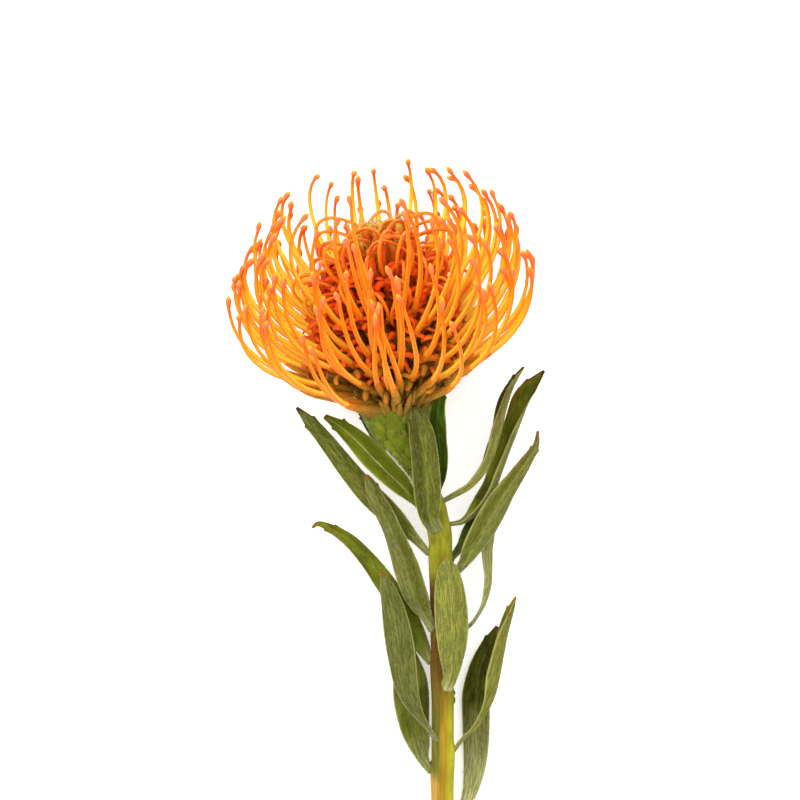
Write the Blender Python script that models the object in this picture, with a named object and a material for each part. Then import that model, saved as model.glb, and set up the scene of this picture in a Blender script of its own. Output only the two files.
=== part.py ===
"""Pincushion protea: one cut flowering stem of a Leucospermum, lying on a flat surface.

Metres, +Z up. The stem runs along +Y from its cut end to the flower head. It rests on
Z = 0, on the rim of its cut end and on the lowest styles of the head, which bend flat
there. The origin is on that surface, under the middle of the object's box.

Lengths in the tables and rules below are in millimetres, and are measured from the foot,
the centre of the stem's cut end: X across, Y towards the head, Z up.
"""

import math
import random

import bmesh
import bpy
from mathutils import Matrix, Vector

MM = 0.001
GAP = 0.35  # clear space between two pieces that touch on the plant

# ---------------------------------------------------------------- driving dimensions
FOOT = Vector((17.3, -116.3, 3.7))  # the foot in the row frame
STEM_RADIUS = 3.75
STEM_SIDES = 14
STEM_LINE = [(0, 0, 0), (0, 22, 3.9), (0, 59, 10.2), (-0.6, 89, 14.9), (-1.6, 113, 18.4)]
HEAD_BASE = Vector((-15.2, 152.7, 26.6))
HEAD_LEAN = math.radians(6.5)  # how far the head's axis turns to the left of +Y
HEAD_RISE = math.radians(19)  # and how far it rises from the surface
NECK_BEND = 0.0105  # how fast the flared neck swings off that axis, going down

# the collar of bracts round the flared top of the stem: height on the head's axis, radius
COLLAR = [(-21, 5.5), (-15, 7.3), (-10, 8.8), (-5, 10.2), (-1, 11.7), (1.4, 12.8)]
COLLAR_WALL = 0.9
COLLAR_SIDES = 16
BRACT_ROWS = [(-16.5, 6, 8), (-10.5, 7, 8.5), (-5.5, 8, 7)]  # root height, count, length
BRACT_HALF_WIDTH = 3.2
BRACT_FLATNESS = 0.26

# the core that carries the florets: height on the head's axis, radius
CORE = [(0.4, 9.8), (5, 12.5), (12, 15.5), (22, 17), (32, 15.5), (41, 11), (47, 6), (50, 1.2)]
CORE_SIDES = 14

FLORETS = 190  # florets on the whole head, lowest first
LEFT_OUT = 3  # every third of them is left to a finer model
GOLDEN_ANGLE = math.radians(137.508)
FIRST_ANGLE = math.radians(114)  # turned so that styles on both sides meet the surface
CONE = [(3, 9.5), (37, 2.5)]  # the cone that they root on: height, radius
OPEN_TO = 0.56  # share of the cone's height up to which the styles are free
LOOPED_TO = 0.77  # and from there up to here they are bowed, with a caught tip
FLORET_SIDES = 3
SEED = 2400

LEAF_THICKNESS = 0.8
LEAF_BASE_HALF_WIDTH = 1.0
LEAF_CELLS_ALONG = 9
LEAF_CELLS_ACROSS = 4
FLOOR_EASE = 0.25  # how softly a part that meets the surface bends along it


class Leaf:
    """One leaf: where it leaves the stem, its midrib, and how its blade is held.

    at: distance of its base from the foot along Y; round: direction from the stem's
    centre, 0 right, 90 up, 180 left; roll: how far the outer face is turned from up, at
    the base, the middle and the tip; fold: how far each half is folded inwards; midrib:
    the points after the base, each with half the width of the flat blade there.
    """

    def __init__(self, name, at, round_, roll, fold, midrib):
        self.name = name
        self.at = at
        self.round = math.radians(round_)
        self.roll = [math.radians(angle) for angle in roll]
        self.fold = math.radians(fold)
        self.midrib = [Vector(row[:3]) for row in midrib]
        self.half_widths = [row[3] for row in midrib]


LEAVES = [
    Leaf("leaf_01", 11, -25, (165, 172, 165), 12, [
        (7, 17.5, 0.5, 1.6), (9.5, 23, 0, 2.6), (11, 31, -0.5, 3.8), (11.5, 39, -0.5, 4.4),
        (11.5, 48, 0, 4.8), (11.5, 56, 1, 4.8), (13, 65, 2.5, 3.9), (15.5, 72, 3.5, 2.8),
        (18.5, 79, 4.5, 0.6)]),
    Leaf("leaf_02", 30, 200, (190, 182, 178), 10, [
        (-6.5, 34, 3, 2), (-8, 39, 1.5, 3.8), (-9.5, 45.5, 1, 5.2), (-10.5, 54, 1, 6.1),
        (-11, 61, 1.5, 5.8), (-12.5, 68, 2.5, 4.4), (-14, 75.5, 4, 2.6), (-15.5, 81.5, 5, 0.5)]),
    Leaf("leaf_03", 38, 5, (55, 76, 108), 50, [
        (7.2, 41.5, 8.2, 0.9), (10.5, 44.5, 9, 1.1), (14, 49.5, 10, 2.2), (17, 55.5, 10.8, 4),
        (18.8, 62.5, 11.5, 5.5), (20, 69, 12, 5.7), (21.2, 75.5, 12.6, 5),
        (22.8, 82, 13.4, 3.7), (24.6, 89.5, 14.5, 0.5)]),
    Leaf("leaf_04", 42, 118, (-25, -12, -5), 20, [
        (-5, 45.3, 12.3, 1.1), (-7.8, 49, 13.8, 1.9), (-10.7, 54.3, 15.5, 3.2),
        (-12.6, 60.3, 17, 4.4), (-13.6, 66.3, 18, 4.9), (-14.6, 73, 19, 5.1),
        (-15.9, 81, 20, 4.7), (-17.3, 88, 20.6, 3.7), (-19.2, 94.3, 21, 2), (-20.4, 98, 21, 0.4)]),
    Leaf("leaf_05", 58.5, 80, (0, 3, 5), 22, [
        (2.4, 61.8, 16.2, 2.4), (2.9, 66.3, 18, 3.7), (3.1, 72.5, 20, 5.1), (3.1, 79, 21.6, 5.9),
        (2.7, 86.5, 22.8, 5.9), (2.1, 94.3, 23.5, 5), (1.6, 99.7, 23.8, 3.1), (1, 103, 24, 0.5)]),
    Leaf("leaf_06", 67, 190, (175, 185, 200), 13, [
        (-7.6, 74, 9.8, 3), (-11.8, 81.5, 9.4, 4), (-16, 88.8, 9.4, 3.8), (-20.5, 95.4, 9.6, 3.4),
        (-25, 101.4, 10, 2.9), (-31, 107.8, 10.6, 2.4), (-37, 111.8, 11.4, 1.6),
        (-41.6, 113.8, 12, 0.9), (-43.8, 112.4, 11.4, 0.4)]),
    Leaf("leaf_07", 75.5, 5, (75, 92, 100), 48, [
        (8.6, 79.2, 13.4, 0.8), (11.6, 82.8, 13.2, 0.9), (14.4, 88, 13, 1.5), (16, 94, 13, 2.7),
        (16.2, 100, 13, 3.8), (16.4, 106, 13.2, 4.2), (17.4, 111.5, 13.6, 3.5),
        (19, 116, 14, 2), (20.3, 120, 14.5, 0.5)]),
    Leaf("leaf_08", 78.5, 140, (-28, -14, -5), 18, [
        (-5.6, 82.5, 18, 2.3), (-8, 87, 19.4, 3.9), (-10.2, 92, 20.6, 4.7), (-12.2, 98.5, 21.8, 4.7),
        (-14.4, 105, 22.8, 4), (-17, 111.8, 23.6, 3.4), (-19.6, 117.5, 24.2, 3.2),
        (-21.8, 121.5, 24.6, 3), (-24.2, 127.3, 25.2, 2), (-25.4, 130.5, 25.5, 0.4)]),
    Leaf("leaf_09", 96.5, 20, (30, 20, 10), 20, [
        (6.8, 100.3, 19.8, 2), (9.8, 105.3, 21, 3.6), (13.8, 112, 22.4, 4.7), (17.2, 118.3, 23.4, 4.5),
        (20.5, 124, 24.2, 3.8), (24.2, 129.5, 25, 3), (27.8, 135, 25.8, 2.1), (30.8, 140, 26.6, 1.2),
        (31.4, 145, 28, 0.4)]),
    Leaf("leaf_10", 101.5, -25, (165, 168, 165), 15, [
        (6.2, 106.5, 15.5, 1.6), (8.6, 111, 14.8, 2.3), (11.4, 115.5, 14.5, 2.5),
        (14.4, 119.8, 14.6, 1.9), (16.6, 123.5, 15, 0.5)]),
    Leaf("leaf_11", 104.5, 165, (-18, -12, -8), 18, [
        (-9.4, 109, 18.8, 1.8), (-14.4, 113.8, 19, 3.3), (-19.2, 118.4, 19.3, 4.1),
        (-24.6, 123.6, 19.6, 4.2), (-30, 129.8, 20, 3.7), (-35.4, 136.8, 20.6, 3.3),
        (-40, 142.8, 21.2, 2.8), (-44.4, 148, 21.8, 2.1), (-48.8, 152.8, 22.5, 0.5)]),
    Leaf("leaf_12", 112, 95, (-4, 0, 0), 20, [
        (-4.4, 116, 26.4, 3.4), (-5, 121, 29.2, 4.6), (-5.5, 128.8, 34, 4.9),
        (-6.2, 137, 38.6, 4.8), (-7.2, 144, 42.4, 4.4), (-8.2, 148.7, 44.8, 3.2),
        (-9.2, 151.8, 46.2, 1.7), (-9.8, 153.7, 47, 0.4)]),
    Leaf("leaf_13", 113, 0, (108, 112, 145), 48, [
        (6.6, 114.3, 18.8, 1.8), (10.6, 116.8, 19.2, 3.9), (14.6, 121.4, 19.6, 5.2),
        (17.4, 126, 20, 5.6), (19.6, 132, 20.4, 5.8), (22, 138.5, 20.8, 5.8), (24.2, 144.2, 21.2, 5.8),
        (26.2, 149.8, 21.6, 5.6), (28, 154.8, 22, 4.8), (30.4, 159.3, 22.5, 3.2),
        (33.8, 165, 23.4, 0.7)]),
    Leaf("leaf_14", 119, 165, (-168, -162, -160), 22, [
        (-10.9, 123.4, 23.6, 2.2), (-14.8, 127.6, 26.2, 3.8), (-19.6, 132.2, 28.6, 4.6),
        (-24.8, 137.6, 29.2, 4.7), (-29.9, 142.7, 29, 3.8), (-34.3, 146.4, 28.4, 2.5),
        (-39.4, 149.9, 28.6, 0.9)]),
    Leaf("leaf_15", 121.5, 20, (70, 90, 108), 52, [
        (5.2, 124, 24.6, 2), (9.2, 126.4, 25.6, 2.2), (13, 130.4, 26.4, 3),
        (15.8, 135.2, 27.2, 4), (17.8, 140.5, 27.8, 4.5), (19.2, 146, 28.3, 4.6),
        (20.4, 151.5, 28.8, 4.3), (21.8, 156.5, 29.3, 3.6), (23.6, 161, 29.8, 2.3),
        (26.8, 166.2, 30.6, 0.6)]),
    Leaf("leaf_16", 124.5, 35, (165, 160, 155), 12, [
        (-0.6, 130.5, 28, 1.8), (-0.8, 137, 32, 2.6), (-1.4, 143.7, 36.8, 2.8),
        (-1.8, 150.3, 42, 2.8), (-1, 156, 46, 2), (0, 161, 49.5, 0.5)]),
    Leaf("leaf_17", 128, 205, (168, 168, 165), 12, [
        (-15.8, 134.4, 14, 1.8), (-19.8, 141, 13, 2.6), (-23.8, 146.6, 13.8, 2.3),
        (-28, 151.5, 16, 0.6)]),
]


# ---------------------------------------------------------------- curves and frames
def head_frame():
    """Axes at the head's base: X to the right, Y down towards the surface, Z outwards."""
    across = Vector((math.cos(HEAD_LEAN), math.sin(HEAD_LEAN), 0))
    level = Vector((-math.sin(HEAD_LEAN), math.cos(HEAD_LEAN), 0))
    axis = level * math.cos(HEAD_RISE) + Vector((0, 0, math.sin(HEAD_RISE)))
    turn = Matrix((across, axis.cross(across), axis)).transposed()
    return Matrix.Translation(HEAD_BASE) @ turn.to_4x4()


HEAD = head_frame()
TO_HEAD = HEAD.inverted()


def neck_frame(height):
    """Axes across the bent neck at a height on the head's axis, in the head's frame."""
    swing = 2 * NECK_BEND * height
    across = Vector((1, 0, -swing)).normalized()
    along = Vector((swing, 0, 1)).normalized()
    turn = Matrix((across, along.cross(across), along)).transposed()
    return Matrix.Translation((NECK_BEND * height**2, 0, height)) @ turn.to_4x4()


def smooth_line(points, count):
    """count points, evenly spaced, on the smooth curve through these points."""
    knots = [Vector(point) for point in points]
    ends = [2 * knots[0] - knots[1], *knots, 2 * knots[-1] - knots[-2]]
    steps = 12
    fine = []
    for a, b, c, d in zip(ends, ends[1:], ends[2:], ends[3:]):
        for step in range(steps):
            t = step / steps
            cubic = (3 * b - a - 3 * c + d) * t**3 + (2 * a - 5 * b + 4 * c - d) * t**2
            fine.append((cubic + (c - a) * t + 2 * b) / 2)
    fine.append(knots[-1])
    return evenly(fine, count)


def evenly(line, count):
    """count points at equal distances along a line of many points."""
    reached = [0.0]
    for a, b in zip(line, line[1:]):
        reached.append(reached[-1] + (b - a).length)
    placed = []
    piece = 0
    for index in range(count):
        goal = reached[-1] * index / (count - 1)
        while piece < len(line) - 2 and reached[piece + 1] < goal:
            piece += 1
        share = (goal - reached[piece]) / (reached[piece + 1] - reached[piece])
        placed.append(line[piece].lerp(line[piece + 1], share))
    return placed


def tangents(line):
    """The direction of a line at each of its points."""
    ahead = [*line[1:], line[-1]]
    behind = [line[0], *line[:-1]]
    return [(b - a).normalized() for a, b in zip(behind, ahead)]


def off_floor(point, clearance):
    """The point, lifted so that it keeps this clearance above the surface."""
    spare = point.z + FOOT.z - clearance
    lifted = point.copy()
    lifted.z += (math.hypot(spare, 2 * FLOOR_EASE) - spare) / 2
    return lifted


def smoothstep(low, high, value):
    """0 below low, 1 above high, and a soft rise between them."""
    share = min(1.0, max(0.0, (value - low) / (high - low)))
    return share * share * (3 - 2 * share)


# ---------------------------------------------------------------- solids
def add_object(name, bm, colour, roughness, parent=None):
    """A named object made of this bmesh, which is in millimetres, with its own material."""
    bmesh.ops.transform(bm, matrix=Matrix.Scale(MM, 4), verts=bm.verts)
    mesh = bpy.data.meshes.new(name)
    bm.to_mesh(mesh)
    bm.free()
    made = bpy.data.objects.new(name, mesh)
    bpy.context.scene.collection.objects.link(made)
    made.parent = parent
    made.data.materials.append(finish(name, colour, roughness))
    return made


def finish(name, colour, roughness):
    """A plain material: its colour is linear red, green and blue."""
    material = bpy.data.materials.new(name)
    material.use_nodes = True
    shader = material.node_tree.nodes["Principled BSDF"]
    shader.inputs["Base Color"].default_value = (*colour, 1)
    shader.inputs["Roughness"].default_value = roughness
    shader.inputs["Metallic"].default_value = 0
    return material


def rod(line, radii, sides, flatness=1.0, facing=Vector((1, 0, 0))):
    """A closed rod along a line, with a radius at each point. Its width across facing is
    the radius, and its thickness along facing is flatness times that."""
    length = len(line) - 1
    bm = bmesh.new()
    bmesh.ops.create_cone(
        bm, cap_ends=True, segments=sides, radius1=1, radius2=1, depth=length
    )
    uprights = [edge for edge in bm.edges if abs(edge.verts[0].co.z - edge.verts[1].co.z) > 0.5]
    if length > 1:
        bmesh.ops.subdivide_edges(bm, edges=uprights, cuts=length - 1)
    normal = facing
    normals = []
    for ahead in tangents(line):
        normal = (normal - ahead * normal.dot(ahead)).normalized()
        normals.append(normal)
    for vert in bm.verts:
        ring = round(vert.co.z + length / 2)
        ahead = tangents(line)[ring]
        side = ahead.cross(normals[ring])
        out = normals[ring] * vert.co.x * flatness + side * vert.co.y
        vert.co = line[ring] + out * radii[ring]
    bmesh.ops.triangulate(bm, faces=bm.faces)
    return bm


def fused(name, core, others):
    """The core object with the others joined to it in one union, and the others removed."""
    group = bpy.data.collections.new(name + "_pieces")
    bpy.context.scene.collection.children.link(group)
    for other in others:
        bpy.context.scene.collection.objects.unlink(other)
        group.objects.link(other)
    union = core.modifiers.new("join", "BOOLEAN")
    union.operation = "UNION"
    union.operand_type = "COLLECTION"
    union.collection = group
    union.solver = "MANIFOLD"
    bpy.context.view_layer.update()
    graph = bpy.context.evaluated_depsgraph_get()
    whole = bpy.data.meshes.new_from_object(core.evaluated_get(graph))
    core.modifiers.clear()
    core.data = whole
    for other in others:
        bpy.data.objects.remove(other)
    bpy.data.collections.remove(group)
    return core


# ---------------------------------------------------------------- stem and collar
def stem_line():
    """Points along the stem's centre, from its cut end to the flat top under the head."""
    neck = [HEAD @ neck_frame(height).translation for height in (-21, -14, -7, -1)]
    return [*STEM_LINE, *neck]


def stem_at(distance):
    """Centre and direction of the stem at this distance from the foot along Y."""
    line = smooth_line(stem_line(), 80)
    place = min(range(1, 79), key=lambda index: abs(line[index].y - distance))
    return line[place], (line[place + 1] - line[place - 1]).normalized()


def collar_radius(height):
    """Outer radius of the collar at a height on the head's axis."""
    for (low, first), (high, second) in zip(COLLAR, COLLAR[1:]):
        if height <= high:
            return first + (second - first) * (height - low) / (high - low)
    return COLLAR[-1][1]


def make_stem(parent):
    """The stem: round, a little swollen where leaves leave it, flared into the head."""
    line = smooth_line(stem_line(), 30)
    radii = []
    for point in line:
        height = (TO_HEAD @ point).z
        radius = STEM_RADIUS
        if height > COLLAR[0][0]:
            radius = max(radius, collar_radius(height) - COLLAR_WALL - 1.5 * GAP)
        radii.append(radius)
    bm = rod(line, radii, STEM_SIDES)
    return add_object("stem", bm, (0.33, 0.26, 0.05), 0.55, parent)


def make_collar(parent):
    """The involucre: a green collar with three rows of pointed bracts fused to it."""
    axis_line = [neck_frame(height).translation for height, _ in COLLAR]
    outer = rod(axis_line, [radius for _, radius in COLLAR], COLLAR_SIDES)
    collar = add_object("involucre", outer, (0.17, 0.22, 0.06), 0.75, parent)
    bracts = []
    for row, (root, count, length) in enumerate(BRACT_ROWS):
        for index in range(count):
            angle = math.tau * (index + row / 2) / count
            out = Vector((math.cos(angle), math.sin(angle), 0))
            line = []
            for share in (0, 0.35, 0.7, 1):
                height = root + length * share
                stand = collar_radius(height) - 0.2 + share
                line.append(neck_frame(height) @ (out * stand))
            radii = [BRACT_HALF_WIDTH * wide for wide in (0.7, 1, 0.62, 0.06)]
            bm = rod(line, radii, 4, BRACT_FLATNESS, out)
            bracts.append(add_object("bract", bm, (0.17, 0.22, 0.06), 0.75, parent))
    ends = [neck_frame(height).translation for height in (COLLAR[0][0] - 2, COLLAR[-1][0] + 4)]
    bore = [ends[0], *axis_line, ends[1]]
    inner = [radius - COLLAR_WALL for _, radius in COLLAR]
    cutter = add_object(
        "collar_bore", rod(bore, [inner[0], *inner, inner[-1]], COLLAR_SIDES), (1, 1, 1), 1, parent
    )
    cutter.hide_render = True
    cutter.display_type = "WIRE"
    collar = fused("involucre", collar, bracts)
    hollow = collar.modifiers.new("bore", "BOOLEAN")
    hollow.operation = "DIFFERENCE"
    hollow.object = cutter
    return collar, cutter


# ---------------------------------------------------------------- florets
class Floret:
    """One floret of the head, from its place in the spiral. All draws are seeded by it."""

    def __init__(self, index):
        draw = random.Random(SEED + index)
        (low, wide), (high, narrow) = CONE
        share = (index + 0.5) / FLORETS
        self.up = (wide - math.sqrt(wide**2 - (wide**2 - narrow**2) * share)) / (wide - narrow)
        self.root = (wide + (narrow - wide) * self.up, low + (high - low) * self.up)
        self.angle = FIRST_ANGLE + index * GOLDEN_ANGLE + draw.uniform(-0.1, 0.1)
        self.lean = math.radians(62 * (1 - self.up**1.5) + 2 + draw.uniform(-5, 4))
        self.last_lean = math.radians(10 - 24 * self.up + draw.uniform(-8, 8))
        self.hook = math.radians(10 + 80 * self.up + draw.uniform(-6, 14))
        self.sway = math.radians(draw.uniform(-11, 11))
        self.length = 64.5 + 5 * self.up + draw.uniform(-2, 2)
        self.mouth = 20 + 11 * self.up + draw.uniform(-1.5, 1.5)
        self.bow_turn = math.radians(draw.uniform(-65, 65))
        self.bow = draw.uniform(0.8, 1.2)
        self.open = self.up < OPEN_TO
        self.looped = not self.open and self.up < LOOPED_TO

    def spread(self, radius, height, turn=0.0):
        """A point of the floret's own plane, in the head's frame."""
        angle = self.angle + turn
        return Vector((radius * math.cos(angle), radius * math.sin(angle), height))

    def style(self, steps=64):
        """Many points along the free style, which leans out, rises and hooks in."""
        radius, height = self.root
        line = []
        for step in range(steps + 1):
            t = step / steps
            line.append(self.spread(radius, height, self.sway * t * t))
            bent = smoothstep(0.3, 1.0, t)
            lean = self.lean + (self.last_lean - self.lean) * bent
            lean -= self.hook * max(0.0, (t - 0.6) / 0.4) ** 2
            radius += self.length / steps * math.sin(lean)
            height += self.length / steps * math.cos(lean)
        return line

    def tube(self, reach):
        """The straight perianth tube from the root to this distance from it."""
        radius, height = self.root
        end = self.spread(
            radius + reach * math.sin(self.lean), height + reach * math.cos(self.lean)
        )
        return [self.spread(radius, height), end]

    def loop(self, steps=24):
        """The bow of a style that is still held at its tip: out of the tube and back."""
        root, end = self.tube(self.mouth)
        along = (end - root).normalized()
        out = self.spread(math.cos(self.lean), -math.sin(self.lean))
        out.rotate(Matrix.Rotation(self.bow_turn, 3, along))
        start = root + along * 11
        first = start + (along * 9 + out * 15) * self.bow
        second = end + (along * 10 + out * 11) * self.bow
        line = []
        for step in range(steps + 1):
            t = step / steps
            line.append(
                start * (1 - t) ** 3
                + first * 3 * t * (1 - t) ** 2
                + second * 3 * t * t * (1 - t)
                + end * t**3
            )
        return line


def pressed(line, radii):
    """A line of the head, kept above the surface that the flower lies on."""
    return [TO_HEAD @ off_floor(HEAD @ point, radius) for point, radius in zip(line, radii)]


def pick(line, shares):
    """The points of a line at these shares of its length."""
    return [line[round(share * (len(line) - 1))] for share in shares]


def floret_rods(index):
    """The rods that stand for one floret: the tube with its style, bow or closed limb."""
    floret = Floret(index)
    if floret.open:
        line = floret.style()
        mouth = floret.mouth / floret.length
        shares = [0.03, mouth - 0.05, mouth, mouth + 0.05, 0.54, 0.68, 0.8, 0.9, 0.95, 1]
        radii = [1.2, 1.3, 2.0, 0.75, 0.72, 0.68, 0.62, 0.58, 0.98, 0.3]
        return [rod(pressed(pick(line, shares), radii), radii, FLORET_SIDES)]
    root, end = floret.tube(floret.mouth)
    limb = [root.lerp(end, share) for share in (0.35, 0.82, 0.94, 1)]
    rods = [rod(limb, [1.3, 1.4, 1.8, 0.9], FLORET_SIDES)]
    if floret.looped:
        bow = pick(floret.loop(), [0, 0.15, 0.3, 0.45, 0.6, 0.75, 0.9, 1])
        rods.append(rod(bow, [0.6] * len(bow), FLORET_SIDES))
    return rods


def make_head(parent):
    """The flower head: core, perianths, styles and bows, fused into one piece."""
    axis_line = [Vector((0, 0, height)) for height, _ in CORE]
    bm = rod(axis_line, [radius for _, radius in CORE], CORE_SIDES)
    head = add_object("flower_head", bm, (0.85, 0.25, 0.02), 0.5, parent)
    pieces = []
    for index in range(FLORETS):
        if index % LEFT_OUT == LEFT_OUT - 1:
            continue
        for bm in floret_rods(index):
            pieces.append(add_object("floret", bm, (0.85, 0.25, 0.02), 0.5, parent))
    return fused("flower_head", head, pieces)


# ---------------------------------------------------------------- leaves
def leaf_lines(leaf, count):
    """The midrib from just off the stem's skin to the tip, and the half widths along it."""
    centre, ahead = stem_at(leaf.at)
    side = Vector((1, 0, 0))
    up = side.cross(ahead)
    out = side * math.cos(leaf.round) + up * math.sin(leaf.round)
    base = centre + out * (STEM_RADIUS + 2 * GAP + LEAF_THICKNESS / 2)
    rows = [(*base, LEAF_BASE_HALF_WIDTH)]
    rows += [(*point, width) for point, width in zip(leaf.midrib, leaf.half_widths)]
    line = smooth_line(rows, count)
    return [point.to_3d() for point in line], [point[3] for point in line]


def roll_at(leaf, t):
    """The turn of the outer face from up, at a share of the leaf's length."""
    base, middle, tip = leaf.roll
    if t < 0.5:
        return base + (middle - base) * smoothstep(0, 0.5, t)
    return middle + (tip - middle) * smoothstep(0.5, 1, t)


def make_leaf(leaf, parent):
    """A blade, folded along its midrib and triangulated alike on both of its faces."""
    line, half_widths = leaf_lines(leaf, LEAF_CELLS_ALONG + 1)
    directions = tangents(line)
    bm = bmesh.new()
    bmesh.ops.create_grid(
        bm, x_segments=LEAF_CELLS_ACROSS, y_segments=LEAF_CELLS_ALONG, size=1
    )
    for vert in bm.verts:
        t = (vert.co.y + 1) / 2
        ring = round(t * LEAF_CELLS_ALONG)
        ahead = directions[ring]
        up = Vector((0, 0, 1))
        outer = (up - ahead * up.dot(ahead)).normalized()
        outer.rotate(Matrix.Rotation(roll_at(leaf, t), 3, ahead))
        side = ahead.cross(outer)
        reach = vert.co.x * half_widths[ring]
        sunk = (math.hypot(vert.co.x, 0.25) - 0.25) * half_widths[ring]
        place = line[ring] + side * reach * math.cos(leaf.fold) - outer * sunk * math.sin(leaf.fold)
        vert.co = off_floor(place, LEAF_THICKNESS) - line[0]
    bmesh.ops.triangulate(bm, faces=bm.faces)
    blade = add_object(leaf.name, bm, (0.2, 0.24, 0.05), 0.6, parent)
    blade.location = line[0] * MM
    wall = blade.modifiers.new("thickness", "SOLIDIFY")
    wall.thickness = LEAF_THICKNESS * MM
    wall.offset = 0
    return blade


def main():
    for old in list(bpy.data.objects):
        bpy.data.objects.remove(old)
    plant = bpy.data.objects.new("cut_flower", None)
    bpy.context.scene.collection.objects.link(plant)
    plant.location = FOOT * MM
    make_stem(plant)
    head_axes = bpy.data.objects.new("head_axes", None)
    bpy.context.scene.collection.objects.link(head_axes)
    head_axes.parent = plant
    head_axes.matrix_local = Matrix.Translation(HEAD_BASE * MM) @ HEAD.to_3x3().to_4x4()
    make_collar(head_axes)
    make_head(head_axes)
    for leaf in LEAVES:
        make_leaf(leaf, plant)


main()
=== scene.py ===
# %% [markdown]
# A pincushion protea is a cut stem with a collar of small green bracts, a head of curling
# orange styles and long silky leaves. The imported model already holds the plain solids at
# their real size, so the first step is to load it as a fixed frame. Nothing in it is moved:
# each finer piece below is made in the same place and then stands for its solid.

# %% Load the fixed frame
import math
import random
import bmesh
import bpy
from mathutils import Matrix, Vector


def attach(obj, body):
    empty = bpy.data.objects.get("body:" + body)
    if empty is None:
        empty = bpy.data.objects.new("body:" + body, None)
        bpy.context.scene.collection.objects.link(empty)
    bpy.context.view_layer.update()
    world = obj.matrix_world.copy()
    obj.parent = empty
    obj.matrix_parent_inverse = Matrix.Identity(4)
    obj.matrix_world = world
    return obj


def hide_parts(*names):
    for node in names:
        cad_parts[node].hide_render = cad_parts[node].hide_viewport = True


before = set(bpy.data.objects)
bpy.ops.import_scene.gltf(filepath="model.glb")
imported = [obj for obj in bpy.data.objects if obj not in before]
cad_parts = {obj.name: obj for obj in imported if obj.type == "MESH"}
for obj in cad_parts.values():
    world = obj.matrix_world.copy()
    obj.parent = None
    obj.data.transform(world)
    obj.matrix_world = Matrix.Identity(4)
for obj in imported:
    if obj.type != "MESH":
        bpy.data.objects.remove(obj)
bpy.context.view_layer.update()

# %% [markdown]
# The flower lies down, so the camera looks straight down on it. A long lens a good way off
# keeps the perspective gentle, as in a plant portrait. The lower end of the stem runs out of
# the picture, and the head is a little above the middle.

# %% Camera
CAMERA_PLACE = (0.00297, 0.03903, 1.425)
CAMERA_LENS = 189
camera_data = bpy.data.cameras.new("camera")
camera_data.lens = CAMERA_LENS
camera_data.sensor_width = 36
camera = bpy.data.objects.new("camera", camera_data)
camera.location = CAMERA_PLACE
bpy.context.scene.collection.objects.link(camera)
bpy.context.scene.camera = camera
print("camera", CAMERA_PLACE, "lens", CAMERA_LENS)

# %% [markdown]
# The floor is one plain, almost white sheet. It glows very slightly, so that the shadows on
# it stay pale. An even white sky gives the soft light of a studio tent. The key lamp stands
# at the upper left and gives each round style a lit side, the front lamp brightens the
# middle of the head, and a weak fill keeps the right side from going dark. The Standard view
# transform keeps the strong oranges, which the default one would wash out.

# %% Floor
FLOOR_COLOUR = (0.94, 0.94, 0.94, 1)
FLOOR_GLOW = 0.31
FLOOR_REACH = 3
floor_mesh = bmesh.new()
bmesh.ops.create_grid(floor_mesh, x_segments=1, y_segments=1, size=FLOOR_REACH)
floor_data = bpy.data.meshes.new("floor")
floor_mesh.to_mesh(floor_data)
floor_mesh.free()
floor = bpy.data.objects.new("floor", floor_data)
bpy.context.scene.collection.objects.link(floor)
floor_finish = bpy.data.materials.new("pale_floor")
floor_finish.use_nodes = True
floor_shader = floor_finish.node_tree.nodes["Principled BSDF"]
floor_shader.inputs["Base Color"].default_value = FLOOR_COLOUR
floor_shader.inputs["Roughness"].default_value = 0.9
floor_shader.inputs["Emission Color"].default_value = (1, 1, 1, 1)
floor_shader.inputs["Emission Strength"].default_value = FLOOR_GLOW
floor_data.materials.append(floor_finish)
print("floor", [round(side, 2) for side in floor.dimensions])

# %% Lights
SKY_STRENGTH = 0.95
LAMPS = [
    ("key", (-0.9, 0.75, 1.5), 0.6, 22),
    ("front", (0.3, 0.35, 1.7), 0.7, 9),
    ("fill", (1.1, -0.5, 1.3), 1.4, 3),
]
world = bpy.data.worlds.new("studio")
world.use_nodes = True
sky = world.node_tree.nodes["Background"]
sky.inputs["Color"].default_value = (1, 1, 1, 1)
sky.inputs["Strength"].default_value = SKY_STRENGTH
bpy.context.scene.world = world
bpy.context.scene.view_settings.view_transform = "Standard"
for name, place, size, power in LAMPS:
    lamp_data = bpy.data.lights.new(name, "AREA")
    lamp_data.size = size
    lamp_data.energy = power
    lamp = bpy.data.objects.new(name, lamp_data)
    lamp.location = place
    lamp.rotation_euler = (-Vector(place)).to_track_quat("-Z", "Y").to_euler()
    bpy.context.scene.collection.objects.link(lamp)
    print("lamp", name, power, "W")

# %% [markdown]
# A plant is easiest to describe from its own foot, the middle of the cut end: across the
# stem, along it, and up from the surface, in millimetres. One matrix then takes every
# finished mesh to metres in the frame. The head has a second set of axes, tilted with it.

# %% The foot and the head's axes
MM = 0.001
FOOT = Vector((17.3, -116.3, 3.7))
TO_FRAME = Matrix.Scale(MM, 4) @ Matrix.Translation(FOOT)
HEAD_BASE = Vector((-15.2, 152.7, 26.6))
HEAD_LEAN = math.radians(6.5)
HEAD_RISE = math.radians(19)
NECK_BEND = 0.0105
STEM_RADIUS = 3.75


def head_frame():
    """Axes at the head's base: X to the right, Y down towards the surface, Z outwards."""
    across = Vector((math.cos(HEAD_LEAN), math.sin(HEAD_LEAN), 0))
    level = Vector((-math.sin(HEAD_LEAN), math.cos(HEAD_LEAN), 0))
    axis = level * math.cos(HEAD_RISE) + Vector((0, 0, math.sin(HEAD_RISE)))
    turn = Matrix((across, axis.cross(across), axis)).transposed()
    return Matrix.Translation(HEAD_BASE) @ turn.to_4x4()


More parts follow.
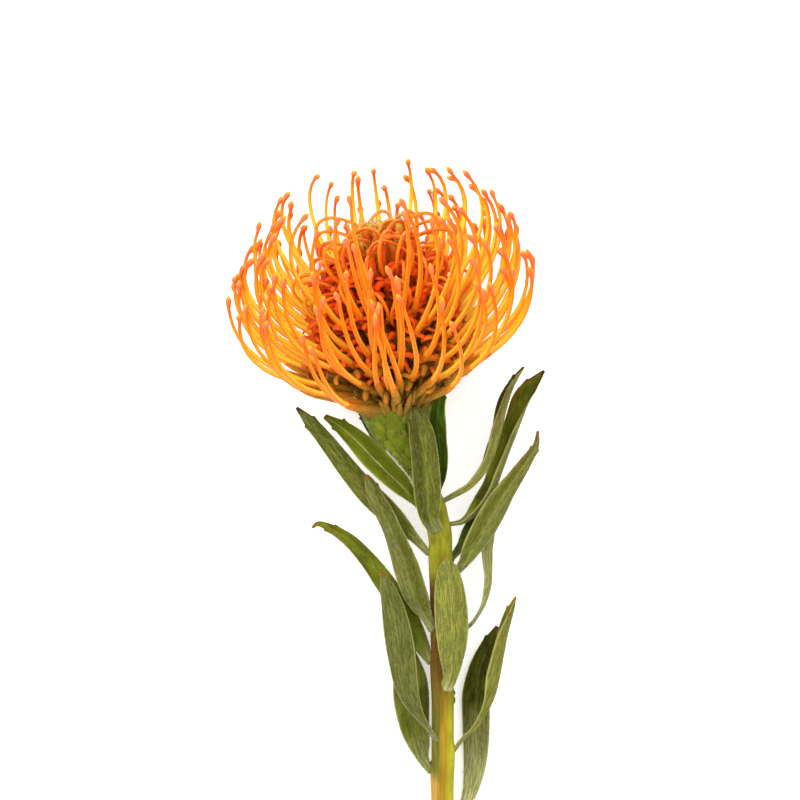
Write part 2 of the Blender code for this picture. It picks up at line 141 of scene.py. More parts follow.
HEAD = head_frame()
TO_HEAD = HEAD.inverted()
print("head's axis points to", [round(part, 2) for part in HEAD.col[2][:3]])

# %% The neck's axes
def neck_frame(height):
    """Axes across the bent neck at a height on the head's axis, in the head's frame."""
    swing = 2 * NECK_BEND * height
    across = Vector((1, 0, -swing)).normalized()
    along = Vector((swing, 0, 1)).normalized()
    turn = Matrix((across, along.cross(across), along)).transposed()
    return Matrix.Translation((NECK_BEND * height**2, 0, height)) @ turn.to_4x4()


print("neck at -20 mm:", [round(part, 1) for part in (HEAD @ neck_frame(-20)).translation])

# %% [markdown]
# Everything on this plant is long and bent, so the basic helper is a smooth curve through a
# few chosen points, with points at equal distances along it. Where a style or a leaf meets
# the surface it lies on, it is eased upwards and never goes below.

# %% Smooth lines
def smooth_line(points, count):
    """count points, evenly spaced, on the smooth curve through these points."""
    knots = [Vector(point) for point in points]
    ends = [2 * knots[0] - knots[1], *knots, 2 * knots[-1] - knots[-2]]
    steps = 12
    fine = []
    for a, b, c, d in zip(ends, ends[1:], ends[2:], ends[3:]):
        for step in range(steps):
            t = step / steps
            cubic = (3 * b - a - 3 * c + d) * t**3 + (2 * a - 5 * b + 4 * c - d) * t**2
            fine.append((cubic + (c - a) * t + 2 * b) / 2)
    fine.append(knots[-1])
    return evenly(fine, count)


def evenly(line, count):
    """count points at equal distances along a line of many points."""
    reached = [0.0]
    for a, b in zip(line, line[1:]):
        reached.append(reached[-1] + (b - a).length)
    placed = []
    piece = 0
    for index in range(count):
        goal = reached[-1] * index / (count - 1)
        while piece < len(line) - 2 and reached[piece + 1] < goal:
            piece += 1
        share = (goal - reached[piece]) / (reached[piece + 1] - reached[piece])
        placed.append(line[piece].lerp(line[piece + 1], share))
    return placed


print("evenly spaced:", [round(p.x, 2) for p in evenly([Vector((0, 0, 0)), Vector((3, 0, 0))], 4)])

# %% Reading a line, and keeping off the floor
FLOOR_EASE = 0.25


def tangents(line):
    """The direction of a line at each of its points."""
    ahead = [*line[1:], line[-1]]
    behind = [line[0], *line[:-1]]
    return [(b - a).normalized() for a, b in zip(behind, ahead)]


def point_on(line, share):
    """The point at this share of a line of evenly spaced points."""
    place = min(max(share, 0.0), 1.0) * (len(line) - 1)
    index = min(int(place), len(line) - 2)
    return line[index].lerp(line[index + 1], place - index)


def smoothstep(low, high, value):
    """0 below low, 1 above high, and a soft rise between them."""
    share = min(1.0, max(0.0, (value - low) / (high - low)))
    return share * share * (3 - 2 * share)


def table_value(table, place):
    """The value at a place in a table of (place, value) rows, on straight lines between."""
    for (low, first), (high, second) in zip(table, table[1:]):
        if place <= high:
            return first + (second - first) * max(0.0, place - low) / (high - low)
    return table[-1][1]


def off_floor(point, clearance):
    """The point, lifted so that it keeps this clearance above the surface."""
    spare = point.z + FOOT.z - clearance
    lifted = point.copy()
    lifted.z += (math.hypot(spare, 2 * FLOOR_EASE) - spare) / 2
    return lifted


print("a point 5 mm under the floor comes to", round(off_floor(Vector((0, 0, -8.7)), 0.5).z, 2))

# %% [markdown]
# Styles, tubes, bows, hairs and the stem are all rods. One straight rod is a cylinder cut
# into rings; spin with a zero angle copies it sideways, so one mesh holds a whole row. Every
# vertex then knows its rod and its ring from where it stands, and is moved to its place on
# that rod's own line. Four marks go with it for the materials: how far along the rod it is,
# how far round, the rod's own random tint, and its place in the straightened skin.

# %% A row of straight rods
PITCH = 4.0


def straight_rods(count, sides, rings):
    """Closed rods of radius 1 side by side along X, with their rings a unit apart in Z."""
    bm = bmesh.new()
    bmesh.ops.create_cone(
        bm, cap_ends=True, segments=sides, radius1=1, radius2=1, depth=rings - 1
    )
    bmesh.ops.translate(bm, vec=(0, 0, (rings - 1) / 2), verts=bm.verts)
    uprights = [edge for edge in bm.edges if abs(edge.verts[0].co.z - edge.verts[1].co.z) > 0.5]
    if rings > 2:
        bmesh.ops.subdivide_edges(bm, edges=uprights, cuts=rings - 2)
    if count > 1:
        whole = bm.verts[:] + bm.edges[:] + bm.faces[:]
        bmesh.ops.spin(
            bm, geom=whole, axis=(0, 0, 1), angle=0, dvec=(PITCH, 0, 0),
            steps=count - 1, use_duplicate=True,
        )
    return bm


row = straight_rods(3, 6, 4)
print("three rods of four rings:", len(row.verts), "vertices,", len(row.faces), "faces")
row.free()

# %% Bending the rods
class Rod:
    """One rod: the points of its rings with a radius at each, and how it faces."""

    def __init__(self, line, radii, facing=Vector((1, 0, 0)), flatness=1.0, tint=0.5, span=(0, 1)):
        self.line = line
        self.rings = []
        normal = facing
        run = 0.0
        before = line[0]
        last = len(line) - 1
        for index, (centre, ahead) in enumerate(zip(line, tangents(line))):
            normal = (normal - ahead * normal.dot(ahead)).normalized()
            run += (centre - before).length
            before = centre
            along = span[0] + (span[1] - span[0]) * index / last
            side = ahead.cross(normal)
            self.rings.append((centre, normal * flatness, side, radii[index], along, run))
        self.tint = tint


def bend_rods(rods, sides):
    """One mesh of all these rods, which have the same number of rings."""
    bm = straight_rods(len(rods), sides, len(rods[0].rings))
    along_mark = bm.verts.layers.float.new("along")
    outer_mark = bm.verts.layers.float.new("outer")
    tint_mark = bm.verts.layers.float.new("tint")
    grain_mark = bm.verts.layers.float_vector.new("grain")
    for vert in bm.verts:
        number = round(vert.co.x / PITCH)
        rod = rods[number]
        x = vert.co.x - number * PITCH
        y = vert.co.y
        centre, normal, side, radius, along, run = rod.rings[round(vert.co.z)]
        vert.co = centre + (normal * x + side * y) * radius
        vert[along_mark] = along
        vert[outer_mark] = x
        vert[tint_mark] = rod.tint
        vert[grain_mark] = (x * radius + 7 * number, y * radius, run)
    return bm


test_rod = Rod([Vector((0, 0, step)) for step in range(5)], [1] * 5)
print("a bent rod has", len(test_rod.rings), "rings")

# %% One piece from a mesh
def add_piece(name, bm, nodes, material):
    """The mesh, in millimetres from the foot, as a piece that stands for these solids."""
    bmesh.ops.transform(bm, matrix=TO_FRAME, verts=bm.verts)
    mesh = bpy.data.meshes.new(name)
    bm.to_mesh(mesh)
    bm.free()
    mesh.shade_smooth()
    mesh.materials.append(material)
    piece = bpy.data.objects.new(name, mesh)
    bpy.context.scene.collection.objects.link(piece)
    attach(piece, "root")
    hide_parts(*nodes)
    print(name, len(mesh.polygons), "faces")
    return piece


# %% [markdown]
# Plant skins share a few effects: fine streaks that run along the grain, and soft blotches.
# Each is a node group with its own sizes as inputs, so one effect serves the leaves, the
# stem and the styles with different values. They read the grain mark, the straightened
# skin in millimetres, so the streaks follow every bend.

# %% Small node helpers
def link(tree, source, target):
    """Connects an output to an input, or sets the input to a plain value or colour."""
    if isinstance(source, bpy.types.NodeSocket):
        tree.links.new(source, target)
    else:
        target.default_value = (*source, 1) if isinstance(source, tuple) else source


def calculate(tree, operation, first, second):
    """A clamped sum, product or maximum of two values."""
    node = tree.nodes.new("ShaderNodeMath")
    node.operation = operation
    node.use_clamp = True
    link(tree, first, node.inputs[0])
    link(tree, second, node.inputs[1])
    return node.outputs[0]


def times(tree, first, *others):
    """The clamped product of these values."""
    for other in others:
        first = calculate(tree, "MULTIPLY", first, other)
    return first


def blend_colour(tree, share, first, second):
    """first where share is 0 and second where it is 1."""
    node = tree.nodes.new("ShaderNodeMix")
    node.data_type = "RGBA"
    link(tree, share, node.inputs["Factor"])
    link(tree, first, node.inputs[6])
    link(tree, second, node.inputs[7])
    return node.outputs[2]


def paint(tree, skin, colour, mask, strength=1.0):
    """The skin with a colour laid over it where the mask is 1, this strongly."""
    share = mask if strength == 1.0 else times(tree, mask, strength)
    return blend_colour(tree, share, skin, colour)


def mark(tree, name, output="Fac"):
    """A mark that the mesh carries."""
    node = tree.nodes.new("ShaderNodeAttribute")
    node.attribute_name = name
    return node.outputs[output]


def stretch(tree, value, low, high):
    """0 where the value is at low, 1 where it is at high, straight between."""
    node = tree.nodes.new("ShaderNodeMapRange")
    link(tree, value, node.inputs["Value"])
    link(tree, low, node.inputs["From Min"])
    link(tree, high, node.inputs["From Max"])
    return node.outputs["Result"]


def ramp(tree, value, stops):
    """A colour for each value, from (place, colour) stops."""
    node = tree.nodes.new("ShaderNodeValToRGB")
    link(tree, value, node.inputs["Fac"])
    points = node.color_ramp.elements
    while len(points) < len(stops):
        points.new(0.5)
    for point, (place, colour) in zip(points, stops):
        point.position = place
        point.color = (*colour, 1)
    return node.outputs["Color"]


print("node helpers ready")

# %% Shared groups: streaks and blotches
def new_group(name, inputs, outputs):
    """An empty shader group with named inputs and outputs."""
    group = bpy.data.node_groups.new(name, "ShaderNodeTree")
    for title, kind, value in inputs:
        socket = group.interface.new_socket(title, in_out="INPUT", socket_type=kind)
        socket.default_value = value
    for title, kind in outputs:
        group.interface.new_socket(title, in_out="OUTPUT", socket_type=kind)
    return group, group.nodes.new("NodeGroupInput"), group.nodes.new("NodeGroupOutput")


def noise_group(name, ratio, detail, low, high):
    """Noise in the skin's own millimetres; ratio is how much longer than wide it is."""
    group, entry, end = new_group(
        name,
        [("Grain", "NodeSocketVector", (0, 0, 0)), ("Width", "NodeSocketFloat", 1.0)],
        [("Mask", "NodeSocketFloat")],
    )
    squeeze = group.nodes.new("ShaderNodeVectorMath")
    squeeze.operation = "MULTIPLY"
    squeeze.inputs[1].default_value = (1, 1, 1 / ratio)
    link(group, entry.outputs["Grain"], squeeze.inputs[0])
    scale = group.nodes.new("ShaderNodeMath")
    scale.operation = "DIVIDE"
    scale.inputs[0].default_value = 1
    link(group, entry.outputs["Width"], scale.inputs[1])
    noise = group.nodes.new("ShaderNodeTexNoise")
    noise.inputs["Detail"].default_value = detail
    noise.inputs["Distortion"].default_value = 0.7
    link(group, squeeze.outputs[0], noise.inputs["Vector"])
    link(group, scale.outputs[0], noise.inputs["Scale"])
    link(group, stretch(group, noise.outputs["Fac"], low, high), end.inputs["Mask"])
    return group


STREAKS = noise_group("Fine streaks", 13, 5, 0.40, 0.60)
BLOTCHES = noise_group("Soft blotches", 2.2, 2, 0.36, 0.64)


def effect(tree, group, width, grain=None):
    """The mask that a shared group gives on this material's skin."""
    node = tree.nodes.new("ShaderNodeGroup")
    node.node_tree = group
    link(tree, grain or mark(tree, "grain", "Vector"), node.inputs["Grain"])
    node.inputs["Width"].default_value = width
    return node.outputs["Mask"]


print("groups:", [group.name for group in (STREAKS, BLOTCHES)])

# %% Starting and ending a material
SKIN_SPECULAR = 0.22
RELIEF_STRENGTH = 0.6


def new_finish(name, roughness=0.5, **sockets):
    """A material with a plain shader, whose sockets take these constant values."""
    material = bpy.data.materials.new(name)
    material.use_nodes = True
    shader = material.node_tree.nodes["Principled BSDF"]
    shader.inputs["Roughness"].default_value = roughness
    shader.inputs["Specular IOR Level"].default_value = SKIN_SPECULAR
    for title, value in sockets.items():
        shader.inputs[title.replace("_", " ")].default_value = value
    return material, material.node_tree, shader


def dress(tree, shader, colour, height, depth):
    """Gives the shader its colour and its relief, which is depth metres high."""
    tree.links.new(colour, shader.inputs["Base Color"])
    node = tree.nodes.new("ShaderNodeBump")
    node.inputs["Strength"].default_value = RELIEF_STRENGTH
    node.inputs["Distance"].default_value = depth
    link(tree, height, node.inputs["Height"])
    link(tree, node.outputs["Normal"], shader.inputs["Normal"])


print("material helpers ready")

# %% [markdown]
# The stem is green and woody at once: tan on the left at its foot, golden green on the right
# and fresh green under the head. Above the foot its left side is dark olive, which is painted
# shade of the leaves over it, and the middle is a reddish brown darkened by painted shade. It
# could be a plain swept circle, but the low cushions under the leaf bases and the small dark
# scars catch the light, so the rod gets enough rings to raise them. The cut end shows a rim
# of bark, pale wood and a softer pith.

# %% Stem line
STEM_LINE = [(0, 0, 0), (0, 22, 3.9), (0, 59, 10.2), (-0.6, 89, 14.9), (-1.6, 113, 18.4)]
COLLAR = [(-21, 5.5), (-15, 7.3), (-10, 8.8), (-5, 10.2), (-1, 11.7), (1.4, 12.8)]
COLLAR_WALL = 0.9
COLLAR_FOOT = COLLAR[0][0]
COLLAR_RIM = COLLAR[-1][0]


def stem_points():
    """The few points that the stem's centre line runs through."""
    neck = [HEAD @ neck_frame(height).translation for height in (-21, -14, -7, -1)]
    return [*STEM_LINE, *neck]


def stem_at(distance):
    """Centre and direction of the stem at this distance from the foot along Y."""
    line = smooth_line(stem_points(), 80)
    place = min(range(1, 79), key=lambda index: abs(line[index].y - distance))
    return line[place], (line[place + 1] - line[place - 1]).normalized()


def stem_radius(point):
    """The stem's radius at a point of its line: even, then flared inside the collar."""
    height = (TO_HEAD @ point).z
    if height < COLLAR_FOOT:
        return STEM_RADIUS
    return max(STEM_RADIUS, table_value(COLLAR, height) - COLLAR_WALL - 0.5)


stem_path = smooth_line(stem_points(), 150)
print("stem length", round(sum((b - a).length for a, b in zip(stem_path, stem_path[1:])), 1), "mm")

# %% The leaves' places
LEAF_THICKNESS = 0.8
FOOT_HALF_WIDTH = 1.0
# Three blades keep more of their width where they clasp the stem.
WIDE_FEET = {"leaf_05": 2.3, "leaf_08": 1.8, "leaf_12": 2.4}


class Leaf:
    """One leaf: where it leaves the stem, its midrib, and how its blade is held.

    at: distance of its base from the foot along Y; round: direction from the stem's
    centre, 0 right, 90 up, 180 left; roll: how far the outer face is turned from up, at
    the base, the middle and the tip; fold: how far each half is folded inwards; midrib:
    the points after the base, each with half the width of the flat blade there.
    """

    def __init__(self, name, at, round_, roll, fold, midrib):
        self.name = name
        self.at = at
        self.round = math.radians(round_)
        self.roll = [math.radians(angle) for angle in roll]
        self.fold = math.radians(fold)
        self.midrib = [Vector(row[:3]) for row in midrib]
        self.half_widths = [row[3] for row in midrib]


LEAVES = [
    Leaf("leaf_01", 11, -25, (165, 172, 165), 12, [
        (7, 17.5, 0.5, 1.6), (9.5, 23, 0, 2.6), (11, 31, -0.5, 3.8), (11.5, 39, -0.5, 4.4),
        (11.5, 48, 0, 4.8), (11.5, 56, 1, 4.8), (13, 65, 2.5, 3.9), (15.5, 72, 3.5, 2.8),
        (18.5, 79, 4.5, 0.6)]),
    Leaf("leaf_02", 30, 200, (190, 182, 178), 10, [
        (-6.5, 34, 3, 2), (-8, 39, 1.5, 3.8), (-9.5, 45.5, 1, 5.2), (-10.5, 54, 1, 6.1),
        (-11, 61, 1.5, 5.8), (-12.5, 68, 2.5, 4.4), (-14, 75.5, 4, 2.6), (-15.5, 81.5, 5, 0.5)]),
    Leaf("leaf_03", 38, 5, (55, 76, 108), 50, [
        (7.2, 41.5, 8.2, 0.9), (10.5, 44.5, 9, 1.1), (14, 49.5, 10, 2.2), (17, 55.5, 10.8, 4),
        (18.8, 62.5, 11.5, 5.5), (20, 69, 12, 5.7), (21.2, 75.5, 12.6, 5),
        (22.8, 82, 13.4, 3.7), (24.6, 89.5, 14.5, 0.5)]),
    Leaf("leaf_04", 42, 118, (-25, -12, -5), 20, [
        (-5, 45.3, 12.3, 1.1), (-7.8, 49, 13.8, 1.9), (-10.7, 54.3, 15.5, 3.2),
        (-12.6, 60.3, 17, 4.4), (-13.6, 66.3, 18, 4.9), (-14.6, 73, 19, 5.1),
        (-15.9, 81, 20, 4.7), (-17.3, 88, 20.6, 3.7), (-19.2, 94.3, 21, 2), (-20.4, 98, 21, 0.4)]),
    Leaf("leaf_05", 58.5, 80, (0, 3, 5), 22, [
        (2.4, 61.8, 16.2, 2.4), (2.9, 66.3, 18, 3.7), (3.1, 72.5, 20, 5.1), (3.1, 79, 21.6, 5.9),
        (2.7, 86.5, 22.8, 5.9), (2.1, 94.3, 23.5, 5), (1.6, 99.7, 23.8, 3.1), (1, 103, 24, 0.5)]),
    Leaf("leaf_06", 67, 190, (175, 185, 200), 13, [
        (-7.6, 74, 9.8, 3), (-11.8, 81.5, 9.4, 4), (-16, 88.8, 9.4, 3.8), (-20.5, 95.4, 9.6, 3.4),
        (-25, 101.4, 10, 2.9), (-31, 107.8, 10.6, 2.4), (-37, 111.8, 11.4, 1.6),
        (-41.6, 113.8, 12, 0.9), (-43.8, 112.4, 11.4, 0.4)]),
    Leaf("leaf_07", 75.5, 5, (75, 76, 80), 48, [
        (8.6, 79.2, 13.4, 0.8), (11.6, 82.8, 13.2, 0.9), (14.4, 88, 13, 1.5), (16, 94, 13, 2.7),
        (16.2, 100, 13, 3.8), (16.4, 106, 13.2, 4.2), (17.4, 111.5, 13.6, 3.5),
        (19, 116, 14, 2), (20.3, 120, 14.5, 0.5)]),
    Leaf("leaf_08", 78.5, 140, (-28, -14, -5), 18, [
        (-5.6, 82.5, 18, 2.3), (-8, 87, 19.4, 3.9), (-10.2, 92, 20.6, 4.7), (-12.2, 98.5, 21.8, 4.7),
        (-14.4, 105, 22.8, 4), (-17, 111.8, 23.6, 3.4), (-19.6, 117.5, 24.2, 3.2),
        (-21.8, 121.5, 24.6, 3), (-24.2, 127.3, 25.2, 2), (-25.4, 130.5, 25.5, 0.4)]),
    Leaf("leaf_09", 96.5, 20, (30, 20, 10), 20, [
        (6.8, 100.3, 19.8, 2), (9.8, 105.3, 21, 3.6), (13.8, 112, 22.4, 4.7), (17.2, 118.3, 23.4, 4.5),
        (20.5, 124, 24.2, 3.8), (24.2, 129.5, 25, 3), (27.8, 135, 25.8, 2.1), (30.8, 140, 26.6, 1.2),
        (31.4, 145, 28, 0.4)]),
    Leaf("leaf_10", 101.5, -25, (165, 168, 165), 15, [
        (6.2, 106.5, 15.5, 1.6), (8.6, 111, 14.8, 2.3), (11.4, 115.5, 14.5, 2.5),
        (14.4, 119.8, 14.6, 1.9), (16.6, 123.5, 15, 0.5)]),
    Leaf("leaf_11", 104.5, 165, (-18, -12, -8), 18, [
        (-9.4, 109, 18.8, 1.8), (-14.4, 113.8, 19, 3.3), (-19.2, 118.4, 19.3, 4.1),
        (-24.6, 123.6, 19.6, 4.2), (-30, 129.8, 20, 3.7), (-35.4, 136.8, 20.6, 3.3),
        (-40, 142.8, 21.2, 2.8), (-44.4, 148, 21.8, 2.1), (-48.8, 152.8, 22.5, 0.5)]),
    Leaf("leaf_12", 112, 95, (-4, 0, 0), 20, [
        (-4.4, 116, 26.4, 3.4), (-5, 121, 29.2, 4.6), (-5.5, 128.8, 34, 4.9),
        (-6.2, 137, 38.6, 4.8), (-7.2, 144, 42.4, 4.4), (-8.2, 148.7, 44.8, 3.2),
        (-9.2, 151.8, 46.2, 1.7), (-9.8, 153.7, 47, 0.4)]),
    Leaf("leaf_13", 113, 0, (108, 112, 145), 48, [
        (6.6, 114.3, 18.8, 1.8), (10.6, 116.8, 19.2, 3.9), (14.6, 121.4, 19.6, 5.2),
        (17.4, 126, 20, 5.6), (19.6, 132, 20.4, 5.8), (22, 138.5, 20.8, 5.8), (24.2, 144.2, 21.2, 5.8),
        (26.2, 149.8, 21.6, 5.8), (28, 154.8, 22, 5.6), (30.4, 159.3, 22.5, 4.3),
        (33.8, 165, 23.4, 0.7)]),
    Leaf("leaf_14", 119, 165, (-168, -162, -160), 22, [
        (-10.9, 123.4, 23.6, 2.2), (-14.8, 127.6, 26.2, 3.8), (-19.6, 132.2, 28.6, 4.6),
        (-24.8, 137.6, 29.2, 4.7), (-29.9, 142.7, 29, 3.8), (-34.3, 146.4, 28.4, 2.5),
        (-39.4, 149.9, 28.6, 0.9)]),
    Leaf("leaf_15", 121.5, 20, (70, 90, 108), 52, [
        (5.2, 124, 24.6, 2), (9.2, 126.4, 25.6, 2.2), (13, 130.4, 26.4, 3),
        (15.8, 135.2, 27.2, 4), (17.8, 140.5, 27.8, 4.5), (19.2, 146, 28.3, 4.6),
        (20.4, 151.5, 28.8, 4.3), (21.8, 156.5, 29.3, 3.6), (23.6, 161, 29.8, 2.3),
        (26.8, 166.2, 30.6, 0.6)]),
    Leaf("leaf_16", 124.5, 35, (165, 160, 155), 12, [
        (-0.6, 130.5, 28, 1.8), (-0.8, 137, 32, 2.6), (-1.4, 143.7, 36.8, 2.8),
        (-1.8, 150.3, 42, 2.8), (-1, 156, 46, 2), (0, 161, 49.5, 0.5)]),
    Leaf("leaf_17", 128, 205, (168, 168, 165), 12, [
        (-15.8, 134.4, 14, 1.8), (-19.8, 141, 13, 2.6), (-23.8, 146.6, 13.8, 2.3),
        (-28, 151.5, 16, 0.6)]),
]
print("leaves:", len(LEAVES))

# %% Stem finish
stem_finish, tree, shader = new_finish("stem_skin", 0.5, Specular_IOR_Level=0.06)
streaks = effect(tree, STREAKS, 0.9)
blotches = effect(tree, BLOTCHES, 3.0)
around = mark(tree, "outer")
along = mark(tree, "along")
green = blend_colour(tree, blotches, (0.16, 0.155, 0.008), (0.28, 0.265, 0.016))
golden = blend_colour(tree, blotches, (0.31, 0.29, 0.014), (0.42, 0.39, 0.022))
tan = blend_colour(tree, streaks, (0.38, 0.21, 0.028), (0.47, 0.29, 0.07))
amber = blend_colour(tree, streaks, (0.29, 0.165, 0.010), (0.37, 0.23, 0.018))
# Painted shade colours: olive stands for the shadow of the leaves over the stem, and brown is a real
# reddish brown darkened with painted shade.
leaf_shadow_olive = blend_colour(tree, streaks, (0.10, 0.095, 0.008), (0.15, 0.145, 0.014))
shaded_brown = blend_colour(tree, streaks, (0.08, 0.036, 0.003), (0.13, 0.065, 0.007))

skin = paint(tree, tan, amber, stretch(tree, around, -0.75, -0.25))
skin = paint(tree, skin, golden, stretch(tree, around, 0.25, 0.6))
past_the_foot = stretch(tree, along, 0.17, 0.2)
# Painted shade: above the foot the left side turns dark olive, the shadow of the leaves over it.
skin = paint(tree, skin, leaf_shadow_olive, stretch(tree, around, 0.05, -0.4), past_the_foot)
# Painted shade: the brown middle band is darkened, and painted olive shade lies on its right.
shaded_brown = paint(tree, shaded_brown, leaf_shadow_olive, stretch(tree, around, 0.3, 0.8))
middle = times(tree, stretch(tree, along, 0.30, 0.42), stretch(tree, along, 0.635, 0.60))
skin = paint(tree, skin, shaded_brown, middle)
skin = paint(tree, skin, green, stretch(tree, along, 0.60, 0.635), 0.9)
skin = paint(tree, skin, (0.03, 0.014, 0.004), mark(tree, "scar"), 0.85)
dress(tree, shader, skin, streaks, 0.0002)
print(stem_finish.name)

# %% Cut end finish
cut_finish, tree, shader = new_finish("cut_wood", 0.7)
rings = effect(tree, BLOTCHES, 0.5)
pale = blend_colour(tree, rings, (0.42, 0.34, 0.16), (0.56, 0.49, 0.28))
skin = paint(tree, pale, (0.16, 0.10, 0.03), stretch(tree, mark(tree, "along"), 0.3, 0.9))
dress(tree, shader, skin, rings, 0.0001)
print(cut_finish.name)

# %% Stem
STEM_SIDES = 40
CUSHION_HEIGHT = 0.45
MOST_SWELLING = 0.6
SCARS = [(57, 10), (54.5, 4), (101.5, 12), (33, 165)]
SCAR_RADIUS = 1.1
SCAR_HEIGHT = 0.7


def swelling(distance, angle):
    """How far the skin stands out here: a low cushion runs down from each leaf base."""
    raised = 0.0
    for leaf in LEAVES:
        aside = math.cos(angle - leaf.round)
        below = leaf.at - distance
        if aside > 0 and -3 < below < 14:
            cushion = smoothstep(-3, 0, below) * (1 - smoothstep(1, 14, below))
            raised += CUSHION_HEIGHT * aside**6 * cushion
    return min(raised, MOST_SWELLING)


def scar_at(distance, angle):
    """How much of a small dark scar lies here."""
    most = 0.0
    for place, turn in SCARS:
        across = STEM_RADIUS * math.remainder(angle - math.radians(turn), math.tau)
        most = max(most, 1 - math.hypot(across, distance - place) / SCAR_RADIUS)
    return min(1.0, 1.6 * most)


def make_stem():
    """The stem as one rod, with its cushions and its scars."""
    radii = [stem_radius(point) for point in stem_path]
    bm = bend_rods([Rod(stem_path, radii)], STEM_SIDES)
    scar_mark = bm.verts.layers.float.new("scar")
    grain_mark = bm.verts.layers.float_vector["grain"]
    for vert in bm.verts:
        across, down, run = vert[grain_mark]
        centre = point_on(stem_path, run / STEM_LENGTH)
        angle = math.atan2(-down, across)
        out = (vert.co - centre).normalized()
        vert[scar_mark] = scar_at(vert.co.y, angle)
        vert.co += out * (swelling(vert.co.y, angle) + SCAR_HEIGHT * vert[scar_mark])
        vert.co = off_floor(vert.co, -0.1)
    return bm


STEM_LENGTH = sum((b - a).length for a, b in zip(stem_path, stem_path[1:]))
stem_mesh = make_stem()
end_face = min(stem_mesh.faces, key=lambda face: face.calc_center_median().y)
print("cut end at", round(end_face.calc_center_median().y, 2), "mm")

# %% The cut, and the stem as a piece
along_mark = stem_mesh.verts.layers.float["along"]
for vert in end_face.verts:
    vert[along_mark] = 1.0
for width, depth, value in [(0.35, 0.0, 1.0), (0.25, 0.12, 0.4), (1.9, 0.0, 0.2), (0.4, -0.25, 0.9)]:
    inset = bmesh.ops.inset_region(stem_mesh, faces=[end_face], thickness=width, depth=depth)
    for face in inset["faces"]:
        face.material_index = 1
    for vert in end_face.verts:
        vert[along_mark] = value
end_face.material_index = 1
bmesh.ops.triangulate(stem_mesh, faces=[face for face in stem_mesh.faces if len(face.verts) > 4])
stem_piece = add_piece("stem_skin", stem_mesh, ["stem"], stem_finish)
stem_piece.data.materials.append(cut_finish)

# %% [markdown]
# The collar under the head, the involucre, is a flared green cup covered with small pointed
# bracts that overlap like tiles and carry a grey down. A texture of scales would look flat
# from the side, so each bract is a small curved blade. They stand in rows, each row turned
# half a step from the one below, and grow into the cup at their roots.

# %% Collar finish
bract_finish, tree, shader = new_finish("bract_skin", 0.6, Specular_IOR_Level=0.08)
streaks = effect(tree, STREAKS, 0.4)
blotches = effect(tree, BLOTCHES, 2.2)
skin = blend_colour(tree, blotches, (0.06, 0.08, 0.002), (0.28, 0.30, 0.008))
skin = paint(tree, skin, (0.28, 0.28, 0.06), streaks, 0.35)
skin = paint(tree, skin, (0.16, 0.20, 0.005), mark(tree, "tint"))
skin = paint(tree, skin, (0.22, 0.13, 0.02), stretch(tree, mark(tree, "along"), 0.86, 1.0), 0.7)
dress(tree, shader, skin, streaks, 0.0003)
print(bract_finish.name)

# %% Collar
CUP_STEPS = 20


def collar_radius(height):
    """Outer radius of the collar at a height on the head's axis."""
    return table_value(COLLAR, height)


def make_cup():
    """The flared cup: an open tube bent along the neck, given its wall by solidify."""
    rise = COLLAR_RIM - COLLAR_FOOT
    heights = [COLLAR_FOOT + rise * step / CUP_STEPS for step in range(CUP_STEPS + 1)]
    line = [neck_frame(height).translation for height in heights]
    rod = Rod(line, [collar_radius(height) for height in heights])
    bm = bend_rods([rod], 32)
    caps = [face for face in bm.faces if len(face.verts) > 4]
    bmesh.ops.delete(bm, geom=caps, context="FACES_ONLY")
    bmesh.ops.solidify(bm, geom=bm.faces[:], thickness=COLLAR_WALL)
    return bm


cup = make_cup()
bmesh.ops.transform(cup, matrix=HEAD, verts=cup.verts)
add_piece("involucre_cup", cup, ["involucre"], bract_finish)

# %% Bracts
BRACT_ROWS = [
    (-19.5, 6, 7.5, 3.0), (-16.0, 7, 8.0, 3.4), (-12.5, 8, 8.0, 3.6), (-9.0, 9, 8.0, 3.8),
    (-5.5, 11, 7.5, 3.7), (-2.5, 13, 6.5, 3.2), (-0.5, 16, 5.5, 2.6),
]
BRACT_STEPS = 8


def bract_rod(root, length, half_width, angle, draw):
    """One bract: a flat pointed rod that lies on the cup and lifts a little at its tip."""
    out = Vector((math.cos(angle), math.sin(angle), 0))
    lift = draw.uniform(0.2, 0.6)
    line = []
    radii = []
    for step in range(BRACT_STEPS + 1):
        share = step / BRACT_STEPS
        height = root + length * share
        above_rim = max(0, height - COLLAR_RIM)
        stand = collar_radius(height) - 0.35 + lift * share**2 + 0.75 * above_rim
        line.append(neck_frame(height) @ (out * stand))
        radii.append(half_width * math.sin(math.pi * (0.2 + 0.78 * share)) ** 0.8)
    radii[-1] = 0.15
    return Rod(line, radii, out, 0.18, draw.random())


draw = random.Random(11)
bracts = []
for row, (root, count, length, half_width) in enumerate(BRACT_ROWS):
    for index in range(count):
        angle = math.tau * (index + row / 2) / count + draw.uniform(-0.12, 0.12)
        bracts.append(bract_rod(root, length * draw.uniform(0.9, 1.1), half_width, angle, draw))
bract_mesh = bend_rods(bracts, 8)
bmesh.ops.transform(bract_mesh, matrix=HEAD, verts=bract_mesh.verts)
add_piece("involucre_bracts", bract_mesh, ["involucre"], bract_finish)

# %% [markdown]
# The head is a spiral of 190 florets on a cone. Every floret is a hairy tube, the perianth,
# with one long style. Low on the cone the styles are free and hook in at the tip; higher up
# they are still caught by the tip and stand out as thin bows; at the very top the florets
# are closed buds. The golden angle places them as the plant does, one after another, and a
# random draw seeded by each floret's number varies its lean, its length and its hook.

# %% Florets
FLORETS = 190
GOLDEN_ANGLE = math.radians(137.508)
FIRST_ANGLE = math.radians(114)
CONE = [(3, 9.5), (37, 2.5)]
OPEN_TO = 0.56
LOOPED_TO = 0.77
STYLE_LENGTH = 65.5
TUBE_LENGTH = 20
SEED = 2400


